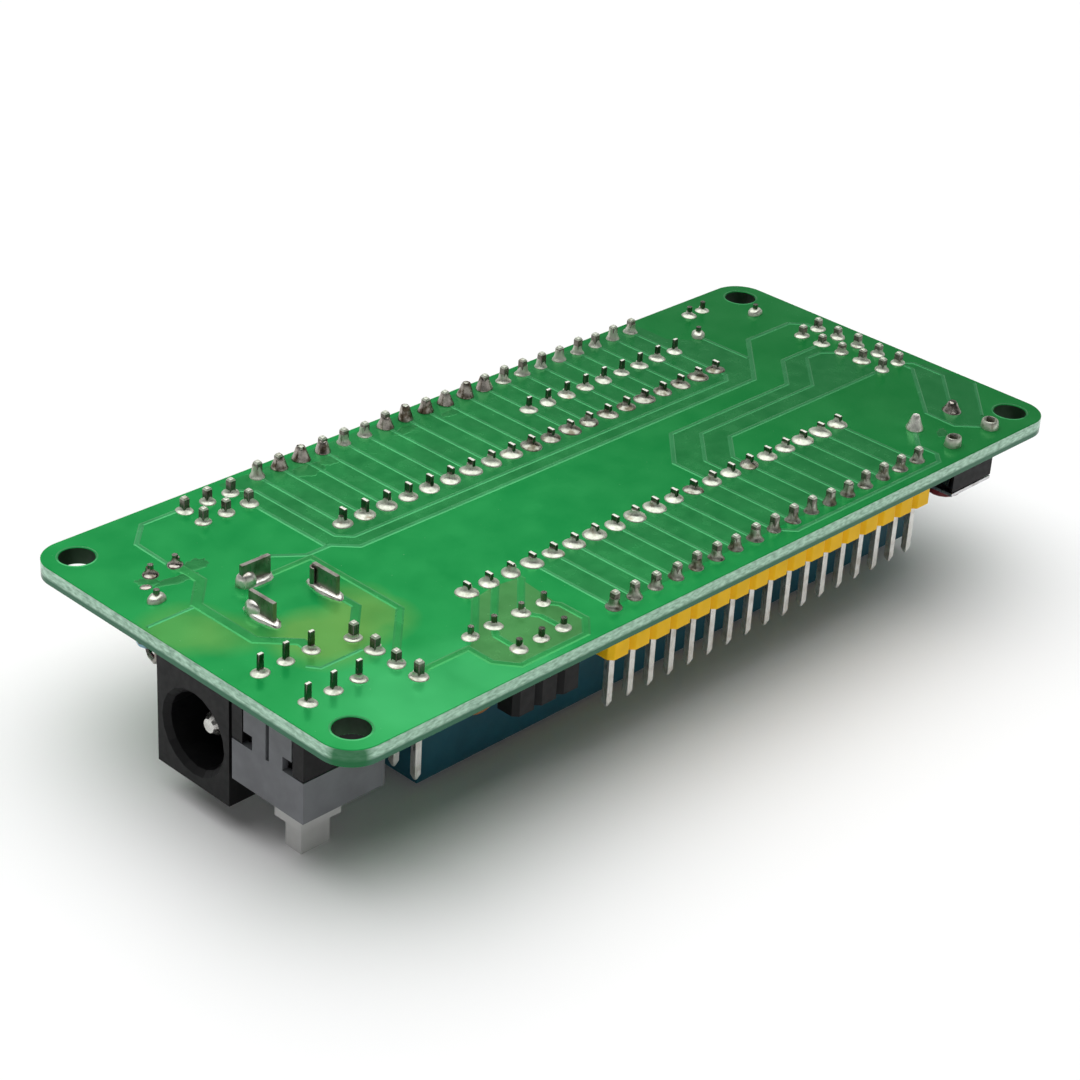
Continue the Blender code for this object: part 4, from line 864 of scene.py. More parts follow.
@dataclass
class CircuitBoard:
    """Laminate slab with its screw holes, tracks, screw-hole rims and dried flux.

    A puddle of flux has its place and half sizes in millimetres and its turn in degrees. The sections of
    rim and puddle give each ring's reach and height, from the outside inward.
    """

    shop: Workshop
    layout: Layout
    length: float = 2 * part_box("circuit_board")[1][0]
    width: float = 2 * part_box("circuit_board")[1][1]
    corner: float = 3.0 * MM
    corner_steps: int = 12
    hole: float = 1.55 * MM
    inset: float = 3.0 * MM
    chamfer: float = 0.05 * MM
    copper: float = 0.045 * MM
    narrow: float = 0.22 * MM
    slope: float = 0.12 * MM
    mitre: float = 0.4
    wide: float = 0.35 * MM
    wide_slope: float = 0.17 * MM
    film: float = 0.008 * MM
    rim_section: tuple[Point, ...] = ((0.2, 0.0), (0.15, 0.03), (0.07, 0.03), (0.04, -0.03))
    puddles: tuple[Sequence[float], ...] = (
        (-38.2, 8.7, 2.2, 0.6, -8), (-35.4, 9.6, 1.3, 0.9, 8), (-40.2, 9.9, 1.2, 0.6, -40),
        (-17.2, 16.4, 1.9, 1.1, 3), (-14.6, 16.6, 1.2, 0.8, 10), (-5.2, 16.7, 1.5, 0.6, 5),
        (0.4, 16.6, 1.2, 0.5, 0), (33.2, -15.6, 1.0, 0.5, 30))
    puddle_section: tuple[Point, ...] = ((1.0, -0.01), (0.98, 0.012), (0.9, 0.022), (0.6, 0.026),
                                         (0.0, 0.028))
    puddle_range: Point = (0.8, 1.12)
    puddle_points: int = 26
    weld: float = 0.0005 * MM
    chance: random.Random = field(default_factory=lambda: random.Random(5))

    def slab(self) -> None:
        """Builds the slab as a filled outline with four round holes."""
        curve = bpy.data.curves.new("laminate", "CURVE")
        curve.dimensions = "2D"
        curve.fill_mode = "BOTH"
        curve.extrude = (LAMINATE / 2 - self.chamfer) / MM
        curve.bevel_depth = self.chamfer / MM
        curve.bevel_resolution = 0
        outline: list[Point] = []
        for sx, sy, start in ((1, 1, 0), (-1, 1, 90), (-1, -1, 180), (1, -1, 270)):
            x, y = sx * (self.length / 2 - self.corner), sy * (self.width / 2 - self.corner)
            radius = self.corner - self.chamfer
            for step in range(self.corner_steps + 1):
                angle = math.radians(start + 90 * step / self.corner_steps)
                outline.append((x + radius * math.cos(angle), y + radius * math.sin(angle)))
        holes = [circle(x, y, self.hole + self.chamfer) for x, y in self.screws()]
        for ring in [outline, *holes]:
            spline = curve.splines.new("POLY")
            spline.points.add(len(ring) - 1)
            for point, (x, y) in zip(spline.points, ring):
                point.co = (x / MM, y / MM, 0.0, 1.0)
            spline.use_cyclic_u = True
        maker = add_object("laminate", curve)
        graph = bpy.context.evaluated_depsgraph_get()
        mesh = bpy.data.meshes.new_from_object(maker.evaluated_get(graph))
        bpy.data.objects.remove(maker)
        bm = bmesh.new()
        bm.from_mesh(mesh)
        bmesh.ops.remove_doubles(bm, verts=bm.verts, dist=self.weld / MM)
        bmesh.ops.scale(bm, vec=(MM, MM, MM), verts=bm.verts)
        bmesh.ops.translate(bm, vec=(0, 0, BOARD_TOP - LAMINATE / 2), verts=bm.verts)
        piece = self.shop.make(bm, "laminate_slab", Finish.MASK, angle=12)
        piece.data.materials.append(self.shop.material(Finish.SHADED_HOLE_WALL))
        # The screw holes' walls take the near-black painted shade.
        for polygon in piece.data.polygons:
            for x, y in self.screws():
                near = math.hypot(polygon.center.x - x, polygon.center.y - y) < self.hole + SKIN
                if near and abs(polygon.normal.z) < LEVEL:
                    polygon.material_index = 1
        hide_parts("circuit_board")

    def screws(self) -> list[Point]:
        """Gives the screw holes.

        Returns:
            Their plan positions.
        """
        x, y = self.length / 2 - self.inset, self.width / 2 - self.inset
        return [(sx * x, sy * y) for sx in (-1, 1) for sy in (-1, 1)]

    def ribbon(self, bm: bmesh.types.BMesh, path: Sequence[Point], width: float) -> None:
        """Adds one track as a low ribbon with sloping edges.

        Args:
            bm: Shape to add to.
            path: Plan points of the track's middle line.
            width: Width of its flat top.
        """
        points = [Vector((x, y)) for x, y in path]
        slope = self.slope if width < self.wide else self.wide_slope
        rows = []
        for i, point in enumerate(points):
            ahead = points[i + 1] - point if i + 1 < len(points) else None
            behind = point - points[i - 1] if i else None
            first = (behind or ahead).normalized()
            second = (ahead or behind).normalized()
            side = Vector((-(first + second).y, (first + second).x)).normalized()
            stretch = 1.0 / max(side.dot(Vector((-first.y, first.x))), self.mitre)
            row = []
            for reach, z in ((width / 2 + slope, 0.0), (width / 2, self.copper),
                             (-width / 2, self.copper), (-width / 2 - slope, 0.0)):
                spot = point + side * reach * stretch
                row.append(bm.verts.new((spot.x, spot.y, BOARD_TOP + z)))
            rows.append(row)
        for here, there in zip(rows, rows[1:]):
            for i in range(len(here) - 1):
                bm.faces.new((here[i], here[i + 1], there[i + 1], there[i]))

    def tracks(self) -> None:
        """Builds the covered tracks of the solder side."""
        bm = bmesh.new()
        lay = self.layout
        for x in ways_along("near_header", 0):
            self.ribbon(bm, [(x, lay.near_row), (x, lay.near_header)], self.narrow)
        for x in lay.columns():
            self.ribbon(bm, [(x, lay.far_row), (x, lay.far_header)], self.narrow)
        wide = bmesh.new()
        for width, path in self.routes():
            target = wide if width * MM > self.wide else bm
            self.ribbon(target, [(x * MM, y * MM) for x, y in path], width * MM)
        self.shop.make(bm, "covered_tracks", Finish.TRACK, angle=None)
        self.shop.make(wide, "wide_covered_tracks", Finish.WIDE_TRACK, angle=None)

    @staticmethod
    def routes() -> list[tuple[float, list[Point]]]:
        """Gives the tracks that bend.

        Returns:
            Width and plan points of each, in millimetres.
        """
        return [
            (0.25, [(-25.22, 17.5), (-24.3, 17.3), (-23.3, 16.3), (-23.3, 6.0), (-22.2, 4.85), (25.9, 4.85),
                    (26.81, 5.8), (26.81, 7.09)]),
            (0.25, [(-25.1, 14.96), (-25.1, 5.2)]),
            (0.3, [(-33.4, 6.2), (-30.2, 7.2), (-27.3, 5.0), (-24.7, 5.0), (-22.9, 3.25), (28.2, 3.3),
                   (34.7, 9.65), (41.0, 9.65), (42.29, 8.4), (42.29, 6.88)]),
            (0.25, [(31.44, 13.45), (31.35, 12.0), (31.45, 6.8)]),
            (0.25, [(9.03, -8.15), (9.03, -3.6), (13.2, 0.55), (29.9, 0.55), (33.7, 4.3), (39.75, 4.34)]),
            (0.2, [(11.57, -8.15), (11.57, -5.1), (15.4, -1.2), (31.6, -1.2), (36.0, 3.15), (38.0, 3.1),
                   (39.75, 1.8)]),
            (0.25, [(14.11, -8.15), (14.11, -6.2), (17.0, -3.3), (39.75, -3.3)]),
            (0.2, [(42.29, -3.28), (42.29, -5.1), (35.45, -12.0), (35.35, -15.4), (37.75, -17.72)]),
            (0.2, [(42.29, -3.28), (43.45, -4.4), (43.45, -7.9), (37.75, -13.28)]),
            (0.1, [(44.5, -11.0), (39.2, -15.8)]),
            (0.25, [(6.49, -17.55), (7.9, -18.95), (28.2, -19.0), (29.3, -17.9), (29.3, -15.8),
                    (31.95, -13.28)]),
            (0.4, [(-21.45, -8.15), (-21.45, -9.2), (-25.6, -13.34)]),
            (0.4, [(-18.91, -8.15), (-18.91, -8.9), (-23.45, -13.34), (-24.4, -14.6), (-24.44, -17.2)]),
            (0.4, [(-16.37, -8.15), (-16.37, -9.4), (-20.35, -13.34), (-19.4, -14.7), (-19.36, -17.2)]),
            (0.4, [(-17.75, -13.34), (-16.9, -14.4), (-16.9, -17.3), (-18.6, -19.0), (-26.0, -19.0),
                   (-27.4, -17.2), (-27.4, -14.5), (-31.9, -14.5), (-33.25, -15.02)]),
            (0.4, [(-33.4, 4.46), (-27.3, 4.5), (-27.3, -6.45), (-31.9, -11.0)]),
            (0.5, [(-29.75, -0.9), (-29.75, -3.9), (-33.25, -7.4)]),
            (0.75, [(-37.0, -6.65), (-36.8, -5.2), (-39.4, -2.6), (-39.4, 4.6), (-36.7, 7.4),
                    (-36.7, 10.2)]),
            (0.25, [(-30.3, 17.9), (-34.6, 17.9), (-37.0, 15.5), (-37.1, 11.2)]),
            (0.15, [(-39.9, 4.4), (-44.6, 4.35)]),
            (0.15, [(-38.9, -8.2), (-38.2, -9.15), (-33.9, -9.15)]),
        ]

    def clearings(self) -> None:
        """Builds the areas with no copper under the mask, darker than the rest or browned by flux."""
        areas = {
            Finish.BARE: [
                [(-25.1, 5.0), (-24.7, 5.0), (-22.9, 3.25), (28.2, 3.3), (31.45, 6.5), (31.4, 12.0),
                 (28.4, 15.0), (28.4, 19.3), (-25.1, 19.3)],
                [(9.03, -8.0), (9.03, -3.6), (13.2, 0.55), (29.9, 0.55), (33.7, 4.3), (39.0, 4.3),
                 (39.0, -3.3), (17.0, -3.3), (14.11, -6.2), (14.11, -8.0)],
                [(42.29, -5.1), (35.45, -12.0), (35.35, -15.4), (37.5, -17.5), (39.2, -15.8),
                 (44.5, -11.0), (44.2, -5.0)],
                [(-13.83, -8.2), (26.81, -8.2), (26.81, -17.5), (-13.83, -17.5)],
            ],
            Finish.BROWNED: [
                [(-21.5, -9.2), (-19.0, -8.8), (-16.4, -9.2), (-16.9, -13.6), (-16.9, -17.3),
                 (-18.6, -19.0), (-26.0, -19.0), (-27.4, -17.2), (-27.3, -14.5), (-25.6, -13.3)],
            ],
        }
        for finish, outlines in areas.items():
            bm = bmesh.new()
            for outline in outlines:
                plan = [(x * MM, y * MM) for x, y in outline]
                extrude_outline(bm, plan, BOARD_TOP - self.film, BOARD_TOP + self.film)
            self.shop.make(bm, finish.value.name + "_areas", finish, angle=None)

    def rims(self) -> None:
        """Builds the thin pale ring round each screw hole."""
        bm = bmesh.new()
        for x, y in self.screws():
            rings = []
            for reach, rise in self.rim_section:
                z = BOARD_TOP + rise * MM
                rings.append([Vector((u, v, z)) for u, v in circle(x, y, self.hole + reach * MM)])
            lathe(bm, rings)
        # The rims share the tracks' finish, with painted highlights on their slopes.
        self.shop.make(bm, "screw_hole_rims", Finish.TRACK, angle=50)

    def residue(self) -> None:
        """Builds the thin films of flux that dried round some joints."""
        bm = bmesh.new()
        for x, y, length, width, turn in self.puddles:
            plan = []
            for u, v in circle(0.0, 0.0, 1.0, self.puddle_points):
                reach = self.chance.uniform(*self.puddle_range)
                spot = Vector((u * length * reach, v * width * reach))
                spot.rotate(Matrix.Rotation(math.radians(turn), 2))
                plan.append(spot)
            rings = []
            for share, rise in self.puddle_section:
                z = BOARD_TOP + rise * MM
                rings.append([Vector(((x + p.x * share) * MM, (y + p.y * share) * MM, z)) for p in plan])
            lathe(bm, rings)
        bmesh.ops.remove_doubles(bm, verts=bm.verts, dist=self.weld)
        self.shop.make(bm, "flux_films", Finish.FLUX, angle=60)

    def build(self) -> None:
        """Builds every piece of the board."""
        self.slab()
        self.clearings()
        self.tracks()
        self.rims()
        self.residue()


class Section(Enum):
    """Sections of solder joints: shares of foot and height, from the board up to the lead."""

    SWEPT = ((1.0, 0.0), (0.99, 0.07), (0.92, 0.15), (0.77, 0.22), (0.57, 0.29), (0.37, 0.4), (0.2, 0.57),
             (0.08, 0.78), (0.0, 1.0))
    CONE = ((1.0, 0.0), (0.99, 0.05), (0.88, 0.1), (0.7, 0.17), (0.48, 0.28), (0.28, 0.46), (0.12, 0.72),
            (0.0, 1.0))
    SPIKE = ((1.0, 0.0), (1.0, 0.06), (0.9, 0.15), (0.72, 0.3), (0.5, 0.52), (0.3, 0.76), (0.12, 0.93),
             (0.0, 1.0))
    HOLLOW = ((1.0, 0.0), (1.0, 0.2), (0.95, 0.55), (0.82, 0.9), (0.66, 1.0), (0.5, 0.85), (0.34, 0.45),
              (0.0, 0.3))


@dataclass(frozen=True)
class Joint:
    """One kind of solder joint: radius on the board, radius at the lead and height, in millimetres."""

    foot: float
    lead: float
    height: float
    section: Section = Section.SWEPT
    oval: float = 1.0


@dataclass(frozen=True)
class JackTab:
    """One terminal of the power jack: middle and offset of its end, in millimetres, and turn in degrees.

    A dome of 0 means that the end is bare and curled.
    """

    x: float
    y: float
    turn: float
    end: float
    dome: float

    def tip(self) -> Point:
        """Gives the plan position of the terminal's end.

        Returns:
            The position, in metres.
        """
        along = math.radians(self.turn)
        return ((self.x + self.end * math.cos(along)) * MM, (self.y + self.end * math.sin(along)) * MM)


JACK_TABS = (JackTab(-36.7, -0.4, 90, 0.95, 1.3), JackTab(-30.0, -0.4, 90, 1.25, 0.0),
             JackTab(-33.4, 4.46, 0, -0.95, 1.3))


@dataclass
class PinHeader:
    """Pin header: notched housing with rounded edges, square pins with pointed ends.

    The point and the cut end of a pin each have the length of their taper and the share of the side left.
    """

    node: str
    housing: Finish
    joint: Joint = Joint(0.8, 0.38, 0.55)
    dull: tuple[int, ...] = ()
    solder: Finish = Finish.SOLDER
    proud: float = 17.2 * MM
    tip: float = 6.1 * MM
    top: float = 13.95 * MM
    height: float = 2.5 * MM
    notch: float = 0.45 * MM
    housing_edge: float = 0.07 * MM
    side: float = 0.64 * MM
    pin_edge: float = 0.05 * MM
    point: Point = (0.55 * MM, 0.35)
    cut: Point = (0.2 * MM, 0.62)
    uneven: Point = (-0.18 * MM, 0.12 * MM)
    drift: float = 0.06 * MM
    cap_facing: float = 0.3
    columns: list[float] = field(init=False)
    rows: list[float] = field(init=False)

    def __post_init__(self) -> None:
        """Reads the ways from the CAD's header."""
        self.columns, self.rows = ways_along(self.node, 0), ways_along(self.node, 1)

    def points(self) -> list[Point]:
        """Gives the plan positions of the pins."""
        return [(x, y) for x in self.columns for y in self.rows]

    def stations(self, values: Sequence[float]) -> list[Point]:
        """Gives the points of one notched side.

        Args:
            values: Way positions along the side.

        Returns:
            Distance along the side and depth of each point.
        """
        half = PITCH / 2
        found: list[Point] = []
        for value in values:
            found.append((value - half + self.notch, 0.0))
            found.append((value + half - self.notch, 0.0))
            if value != values[-1]:
                found.append((value + half, self.notch))
        return found

    def outline(self) -> list[Point]:
        """Gives the housing's plan.

        Returns:
            Its points in order.
        """
        half = PITCH / 2
        x0, x1 = self.columns[0] - half, self.columns[-1] + half
        y0, y1 = self.rows[0] - half, self.rows[-1] + half
        across, along = self.stations(self.columns), self.stations(self.rows)
        return ([(u, y0 + d) for u, d in across] + [(x1 - d, v) for v, d in along]
                + [(u, y1 - d) for u, d in reversed(across)] + [(x0 + d, v) for v, d in reversed(along)])

    def pins(self) -> bmesh.types.BMesh:
        """Makes the pins, each cut and bent a little differently.

        Returns:
            Their shape.
        """
        bm = bmesh.new()
        chance = random.Random(self.node)
        half = self.side / 2
        for x, y in self.points():
            proud = self.proud + chance.uniform(*self.uneven)
            drift = [chance.uniform(-self.drift, self.drift) for _ in range(2)]
            rings = []
            for z, share in ((self.tip, self.point[1]), (self.tip + self.point[0], 1.0), (self.top, 1.0),
                             (proud - self.cut[0], 1.0), (proud, self.cut[1])):
                lean = max((z - self.top) / (proud - self.top), 0.0)
                spot = Vector((x + drift[0] * lean, y + drift[1] * lean, z))
                rings.append([spot + Vector((a, b, 0)) * half * share
                              for a, b in ((-1, -1), (1, -1), (1, 1), (-1, 1))])
            lathe(bm, rings, capped=True)
        return bm

    def build(self, shop: Workshop) -> None:
        """Builds the header in place of its CAD node.

        Args:
            shop: Workshop that finishes the pieces.
        """
        bm = bmesh.new()
        extrude_outline(bm, self.outline(), self.top - self.height, self.top)
        housing = shop.make(bm, self.node + "_housing", self.housing)
        soften(housing, self.housing_edge)
        # Below the housing's top a pin takes the bright metal; above it, the same metal darkened as painted
        # shade, with solder on its upward faces.
        pins = shop.make(self.pins(), self.node + "_pins", Finish.BRIGHT_PIN)
        pins.data.materials.append(shop.material(Finish.PIN))
        pins.data.materials.append(shop.material(Finish.SOLDER))
        for polygon in pins.data.polygons:
            above = polygon.center.z > self.top + LEAD_ROOT
            polygon.material_index = 2 if above and polygon.normal.z > self.cap_facing else int(above)
        soften(pins, self.pin_edge)
        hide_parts(self.node)


HEADERS = [
    PinHeader("near_header", Finish.YELLOW, Joint(0.7, 0.38, 1.0, Section.CONE), solder=Finish.BROWN_SOLDER),
    PinHeader("far_header", Finish.YELLOW, Joint(0.72, 0.38, 1.0, Section.CONE),
              dull=(1, 2, 3, *range(6, 12))),
    PinHeader("power_header", Finish.BLACK),
    PinHeader("serial_header", Finish.BLACK, Joint(0.8, 0.38, 0.5)),
    PinHeader("isp_header", Finish.BLACK, proud=16.9 * MM),
]


@dataclass
class SolderWork:
    """Solder joints: a rounded foot that sweeps up the lead, different at every lead."""

    shop: Workshop
    layout: Layout
    sink: float = 0.02 * MM
    sides: int = 18
    foot_range: Point = (0.92, 1.1)
    height_range: Point = (0.8, 1.2)
    lean: float = 0.1 * MM
    lobe_range: Point = (0.03, 0.09)
    peak: float = 0.96
    dome_rings: int = 6
    dome_power: float = 0.6
    ripples: Point = (0.1, 0.05)
    weld: float = 0.001 * MM
    socket: Joint = Joint(0.97, 0.33, 0.7, oval=1.04)
    browned: tuple[int, ...] = (11, 14, *range(29, 40))
    dull_pin: Joint = Joint(0.78, 0.36, 1.35, Section.SPIKE)
    network: Joint = Joint(0.85, 0.28, 0.65)
    switch: Joint = Joint(0.78, 0.25, 0.5)
    small: Joint = Joint(0.74, 0.25, 0.5)
    reset: tuple[Joint, ...] = (Joint(0.88, 0.3, 0.85, Section.HOLLOW), Joint(0.88, 0.3, 1.3, Section.SPIKE),
                                Joint(0.88, 0.3, 0.8, Section.HOLLOW), Joint(0.88, 0.3, 0.95, Section.SPIKE))
    can: Joint = Joint(0.72, 0.28, 0.5)
    lamp: Joint = Joint(0.78, 0.3, 0.75)
    bent_leads: tuple[Point, ...] = ((31.445, 13.45), (40.155, 13.45), (-41.4, 7.2))
    bead: Place = (0.85, 0.7, 0.6)
    stub: Place = (0.5, 0.45, 0.12)
    pad: Place = (2.0, 0.8, 0.42)
    dome: Point = (0.9, 0.75)
    chance: random.Random = field(default_factory=lambda: random.Random(11))

    def fillet(self, bm: bmesh.types.BMesh, spot: Point, joint: Joint) -> None:
        """Adds one fillet.

        Args:
            bm: Shape to add to.
            spot: Plan position of the lead.
            joint: Its usual sizes, which are varied here.
        """
        pick = self.chance.uniform
        foot = joint.foot * MM * pick(*self.foot_range)
        height = joint.height * MM * pick(*self.height_range)
        lean = [pick(-self.lean, self.lean) for _ in range(2)]
        phase, lobes = pick(0, math.tau), pick(*self.lobe_range)
        lead, section = joint.lead * MM, joint.section.value
        rows = []
        for out, up in section:
            radius = lead + (foot - lead) * out
            stretch = 1 + (joint.oval - 1) * out
            ring = []
            for i in range(self.sides):
                angle = math.tau * i / self.sides
                uneven = 1 + lobes * out * math.sin(2 * angle + phase)
                ring.append(Vector((spot[0] + lean[0] * up + radius * uneven * math.cos(angle),
                                    spot[1] + lean[1] * up + radius * uneven * stretch * math.sin(angle),
                                    BOARD_TOP - self.sink + height * up)))
            rows.append(ring)
        top = BOARD_TOP + height * section[-1][1] * self.peak
        rows.append([Vector((spot[0] + lean[0], spot[1] + lean[1], top))] * self.sides)
        lathe(bm, rows)

    def blob(self, bm: bmesh.types.BMesh, spot: Point, size: Place, turn: float = 0.0) -> None:
        """Adds a domed blob of solder, flat on the board.

        Args:
            bm: Shape to add to.
            spot: Plan position.
            size: Half length, half width and height, in millimetres.
            turn: Turn in the plan, in degrees.
        """
        length, width, height = (part * MM for part in size)
        rows = []
        for k in range(self.dome_rings):
            rise = math.pi / 2 * k / (self.dome_rings - 1)
            z = BOARD_TOP - self.sink + height * math.sin(rise) ** self.dome_power
            ring = []
            for i in range(self.sides):
                angle = math.tau * i / self.sides
                coarse, fine = math.sin(2 * angle + spot[0] / MM), math.sin(5 * angle + rise * 2)
                uneven = 1 + self.ripples[0] * coarse + self.ripples[1] * fine
                local = Vector((length * math.cos(rise) * math.cos(angle) * uneven,
                                width * math.cos(rise) * math.sin(angle) * uneven, 0.0))
                local.rotate(Matrix.Rotation(math.radians(turn), 3, "Z"))
                ring.append(Vector((spot[0], spot[1], z)) + local)
            rows.append(ring)
        lathe(bm, rows)

    def build(self) -> None:
        """Builds the joints, in groups by the piece they hold."""
        bright, dull = bmesh.new(), bmesh.new()
        for number, spot in enumerate(self.layout.socket()):
            self.fillet(dull if number in self.browned else bright, spot, self.socket)
        self.tidy("solder_of_lever_socket", bright, Finish.SOLDER)
        self.tidy("browned_solder_of_lever_socket", dull, Finish.BROWN_SOLDER)
        for header in HEADERS:
            bright, dull = bmesh.new(), bmesh.new()
            for number, spot in enumerate(header.points()):
                if number in header.dull:
                    self.fillet(dull, spot, self.dull_pin)
                else:
                    self.fillet(bright, spot, header.joint)
            self.tidy("solder_of_" + header.node, bright, header.solder)
            self.tidy("dull_solder_of_" + header.node, dull, Finish.DULL_SOLDER)
        self.small_parts()
        self.power_jack()

    def small_parts(self) -> None:
        """Builds the joints of the switches and the small parts."""
        bm, dull, frosted = bmesh.new(), bmesh.new(), bmesh.new()
        groups = ((self.layout.network(), self.network), (self.layout.switch(), self.switch),
                  (self.layout.small(), self.small))
        for spots, joint in groups:
            for spot in spots:
                self.fillet(bm, spot, joint)
        for spot, target, joint in zip(self.layout.reset(), (bm, frosted, bm, dull), self.reset):
            self.fillet(target, spot, joint)
        for number in (1, 2):
            self.fillet(bm, middle(f"reset_capacitor_lead_{number}"), self.can)
        for x, y in self.bent_leads:
            self.blob(bm, (x * MM, y * MM), self.bead, turn=20)
        self.tidy("solder_of_small_parts", bm, Finish.SOLDER)
        self.tidy("frosted_solder_of_reset_switch", frosted, Finish.FROSTED_SOLDER)
        for number in (1, 2):
            self.fillet(dull, middle(f"power_led_lead_{number}"), self.lamp)
        self.blob(dull, middle("led_resistor_lead_1"), self.stub, turn=10)
        self.tidy("dull_solder_of_small_parts", dull, Finish.DULL_SOLDER)

    def power_jack(self) -> None:
        """Builds the jack's joints: a flat pad at each terminal and a dome at the end of two."""
        bm = bmesh.new()
        for tab in JACK_TABS:
            self.blob(bm, (tab.x * MM, tab.y * MM), self.pad, tab.turn)
            if tab.dome:
                self.blob(bm, tab.tip(), (*self.dome, tab.dome), tab.turn)
        self.tidy("solder_of_power_jack", bm, Finish.FROSTED_SOLDER)

    def tidy(self, name: str, bm: bmesh.types.BMesh, finish: Finish) -> None:
        """Welds a group of joints and gives it its finish.

        Args:
            name: Name of the group.
            bm: The joints.
            finish: Their finish.
        """
        if not bm.verts:
            bm.free()
            return
        bmesh.ops.remove_doubles(bm, verts=bm.verts, dist=self.weld)
        self.shop.make(bm, name, finish, angle=60)


@dataclass
class LeverSocket:
    """Lever socket: fixed base with its contacts, sliding cover, cam, lever and grip."""

    shop: Workshop
    layout: Layout
    blade: Point = (0.15 * MM, 0.8 * MM)
    tail: Point = (0.16 * MM, 0.36 * MM)
    tail_top: float = 16.72 * MM
    tallest: float = 0.55 * MM
    tall_tails: int = 10

    def tips(self) -> list[Place]:
        """Gives the ends of the contacts' tails, which stand taller at the jack end of the far row.

        Returns:
            Their positions.
        """
        found = []
        ways = len(self.layout.columns())
        for number, (x, y) in enumerate(self.layout.socket()):
            way = number - ways
            extra = self.tallest * (1 - way / self.tall_tails) if 0 <= way < self.tall_tails else 0.0
            found.append((x, y, self.tail_top + extra))
        return found

    def build(self) -> None:
        """Builds the tails' ends and dresses the socket's nodes."""
        self.shop.lengthen("socket_lead_tips", self.tips(), self.tail)
        self.shop.dress_leads("zif_base", Finish.TEAL, Finish.PIN, self.layout.socket(), self.blade)
        self.shop.dress("zif_cover", Finish.TEAL)
        self.shop.dress("zif_cam", Finish.BLACK)
        self.shop.dress("zif_lever", Finish.STEEL, angle=60)
        self.shop.dress("zif_lever_grip", Finish.BLACK)


@dataclass
class PowerJack:
    """Power jack: black housing, centre pin and three terminals, one of them with a curled end."""

    shop: Workshop
    curl: float = 0.5 * MM
    strip: float = 0.16 * MM
    proud: float = 1.75 * MM
    sweep: float = 250.0
    sweep_steps: int = 14
    strip_edge: float = 0.03 * MM

    def curls(self) -> None:
        """Builds the curled end of the terminals that have no dome of solder."""
        bm = bmesh.new()
        for tab in JACK_TABS:
            if tab.dome:
                continue
            x, y = tab.tip()
            first, turn = tab.turn - self.sweep / 2, self.sweep / self.sweep_steps
            arc = [math.radians(first + turn * i) for i in range(self.sweep_steps + 1)]
            outer, inner = ([(x + radius * math.cos(angle), y + radius * math.sin(angle)) for angle in arc]
                            for radius in (self.curl, self.curl - self.strip))
            extrude_outline(bm, outer + inner[::-1], BOARD_TOP, BOARD_TOP + self.proud)
        soften(self.shop.make(bm, "jack_terminal_curls", Finish.TAB), self.strip_edge)

    def build(self) -> None:
        """Builds the curled end and dresses the jack's nodes."""
        self.curls()
        self.shop.dress("jack_housing", Finish.BLACK)
        self.shop.dress("jack_centre_pin", Finish.BRIGHT_PIN)
        for node in ("jack_pin_terminal", "jack_sleeve_spring", "jack_side_contact"):
            self.shop.dress(node, Finish.TAB)


@dataclass
class PowerSwitch:
    """Push-on push-off switch: black base with pins, grey cover, white plunger, spring and clips."""

    shop: Workshop
    layout: Layout
    pin: Point = (0.25 * MM, 0.15 * MM)
    proud: float = 17.5 * MM
    wire: float = 0.35 * MM
    coil: float = 1.0 * MM
    turns: float = 4.5
    closed: float = 0.6
    per_turn: int = 20
    sides: int = 10

    def spring(self) -> None:
        """Builds the return spring as a wire coil with closed end turns, in place of the CAD's spring."""
        low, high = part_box("switch_spring")
        x, y = middle("switch_base")
        bottom, top = low[2] + self.wire / 2, high[2] - self.wire / 2
        rings = []
        section = circle(0.0, 0.0, self.wire / 2, self.sides)
        for i in range(int(self.turns * self.per_turn) + 1):
            turn = i / self.per_turn
            share = min(max((turn - self.closed) / (self.turns - 2 * self.closed), 0.0), 1.0)
            out = Vector((math.cos(math.tau * turn), math.sin(math.tau * turn), 0.0))
            spot = Vector((x, y, bottom + share * (top - bottom))) + out * self.coil
            rings.append([spot + out * across + Vector((0.0, 0.0, up)) for across, up in section])
        bm = bmesh.new()
        lathe(bm, rings, capped=True)
        spring = self.shop.make(bm, "return_spring", Finish.STEEL, angle=60)
        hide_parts("switch_spring")
        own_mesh(spring)

    def build(self) -> None:
        """Builds the spring and dresses the switch's nodes."""
        self.spring()
        tips = [(x, y, self.proud) for x, y in self.layout.switch()]
        self.shop.lengthen("switch_pin_tips", tips, self.pin)
        self.shop.dress_leads("switch_base", Finish.BLACK, Finish.PIN, self.layout.switch(), self.pin)
        self.shop.dress("switch_cover", Finish.GREY)
        self.shop.dress("switch_plunger", Finish.WHITE)
        self.shop.dress("switch_clip_near", Finish.BRASS)
        self.shop.dress("switch_clip_far", Finish.BRASS)


@dataclass
class ResetSwitch:
    """Reset switch: black base, steel plate, maroon button, dome and four legs."""

    shop: Workshop

    def build(self) -> None:
        """Dresses the switch's nodes."""
        self.shop.dress("reset_base", Finish.BLACK)
        self.shop.dress("reset_cover", Finish.STEEL)
        self.shop.dress("reset_button", Finish.MAROON)
        self.shop.dress("reset_dome", Finish.STEEL, angle=60)
        for number in range(1, 5):
            self.shop.dress(f"reset_leg_{number}", Finish.PIN)


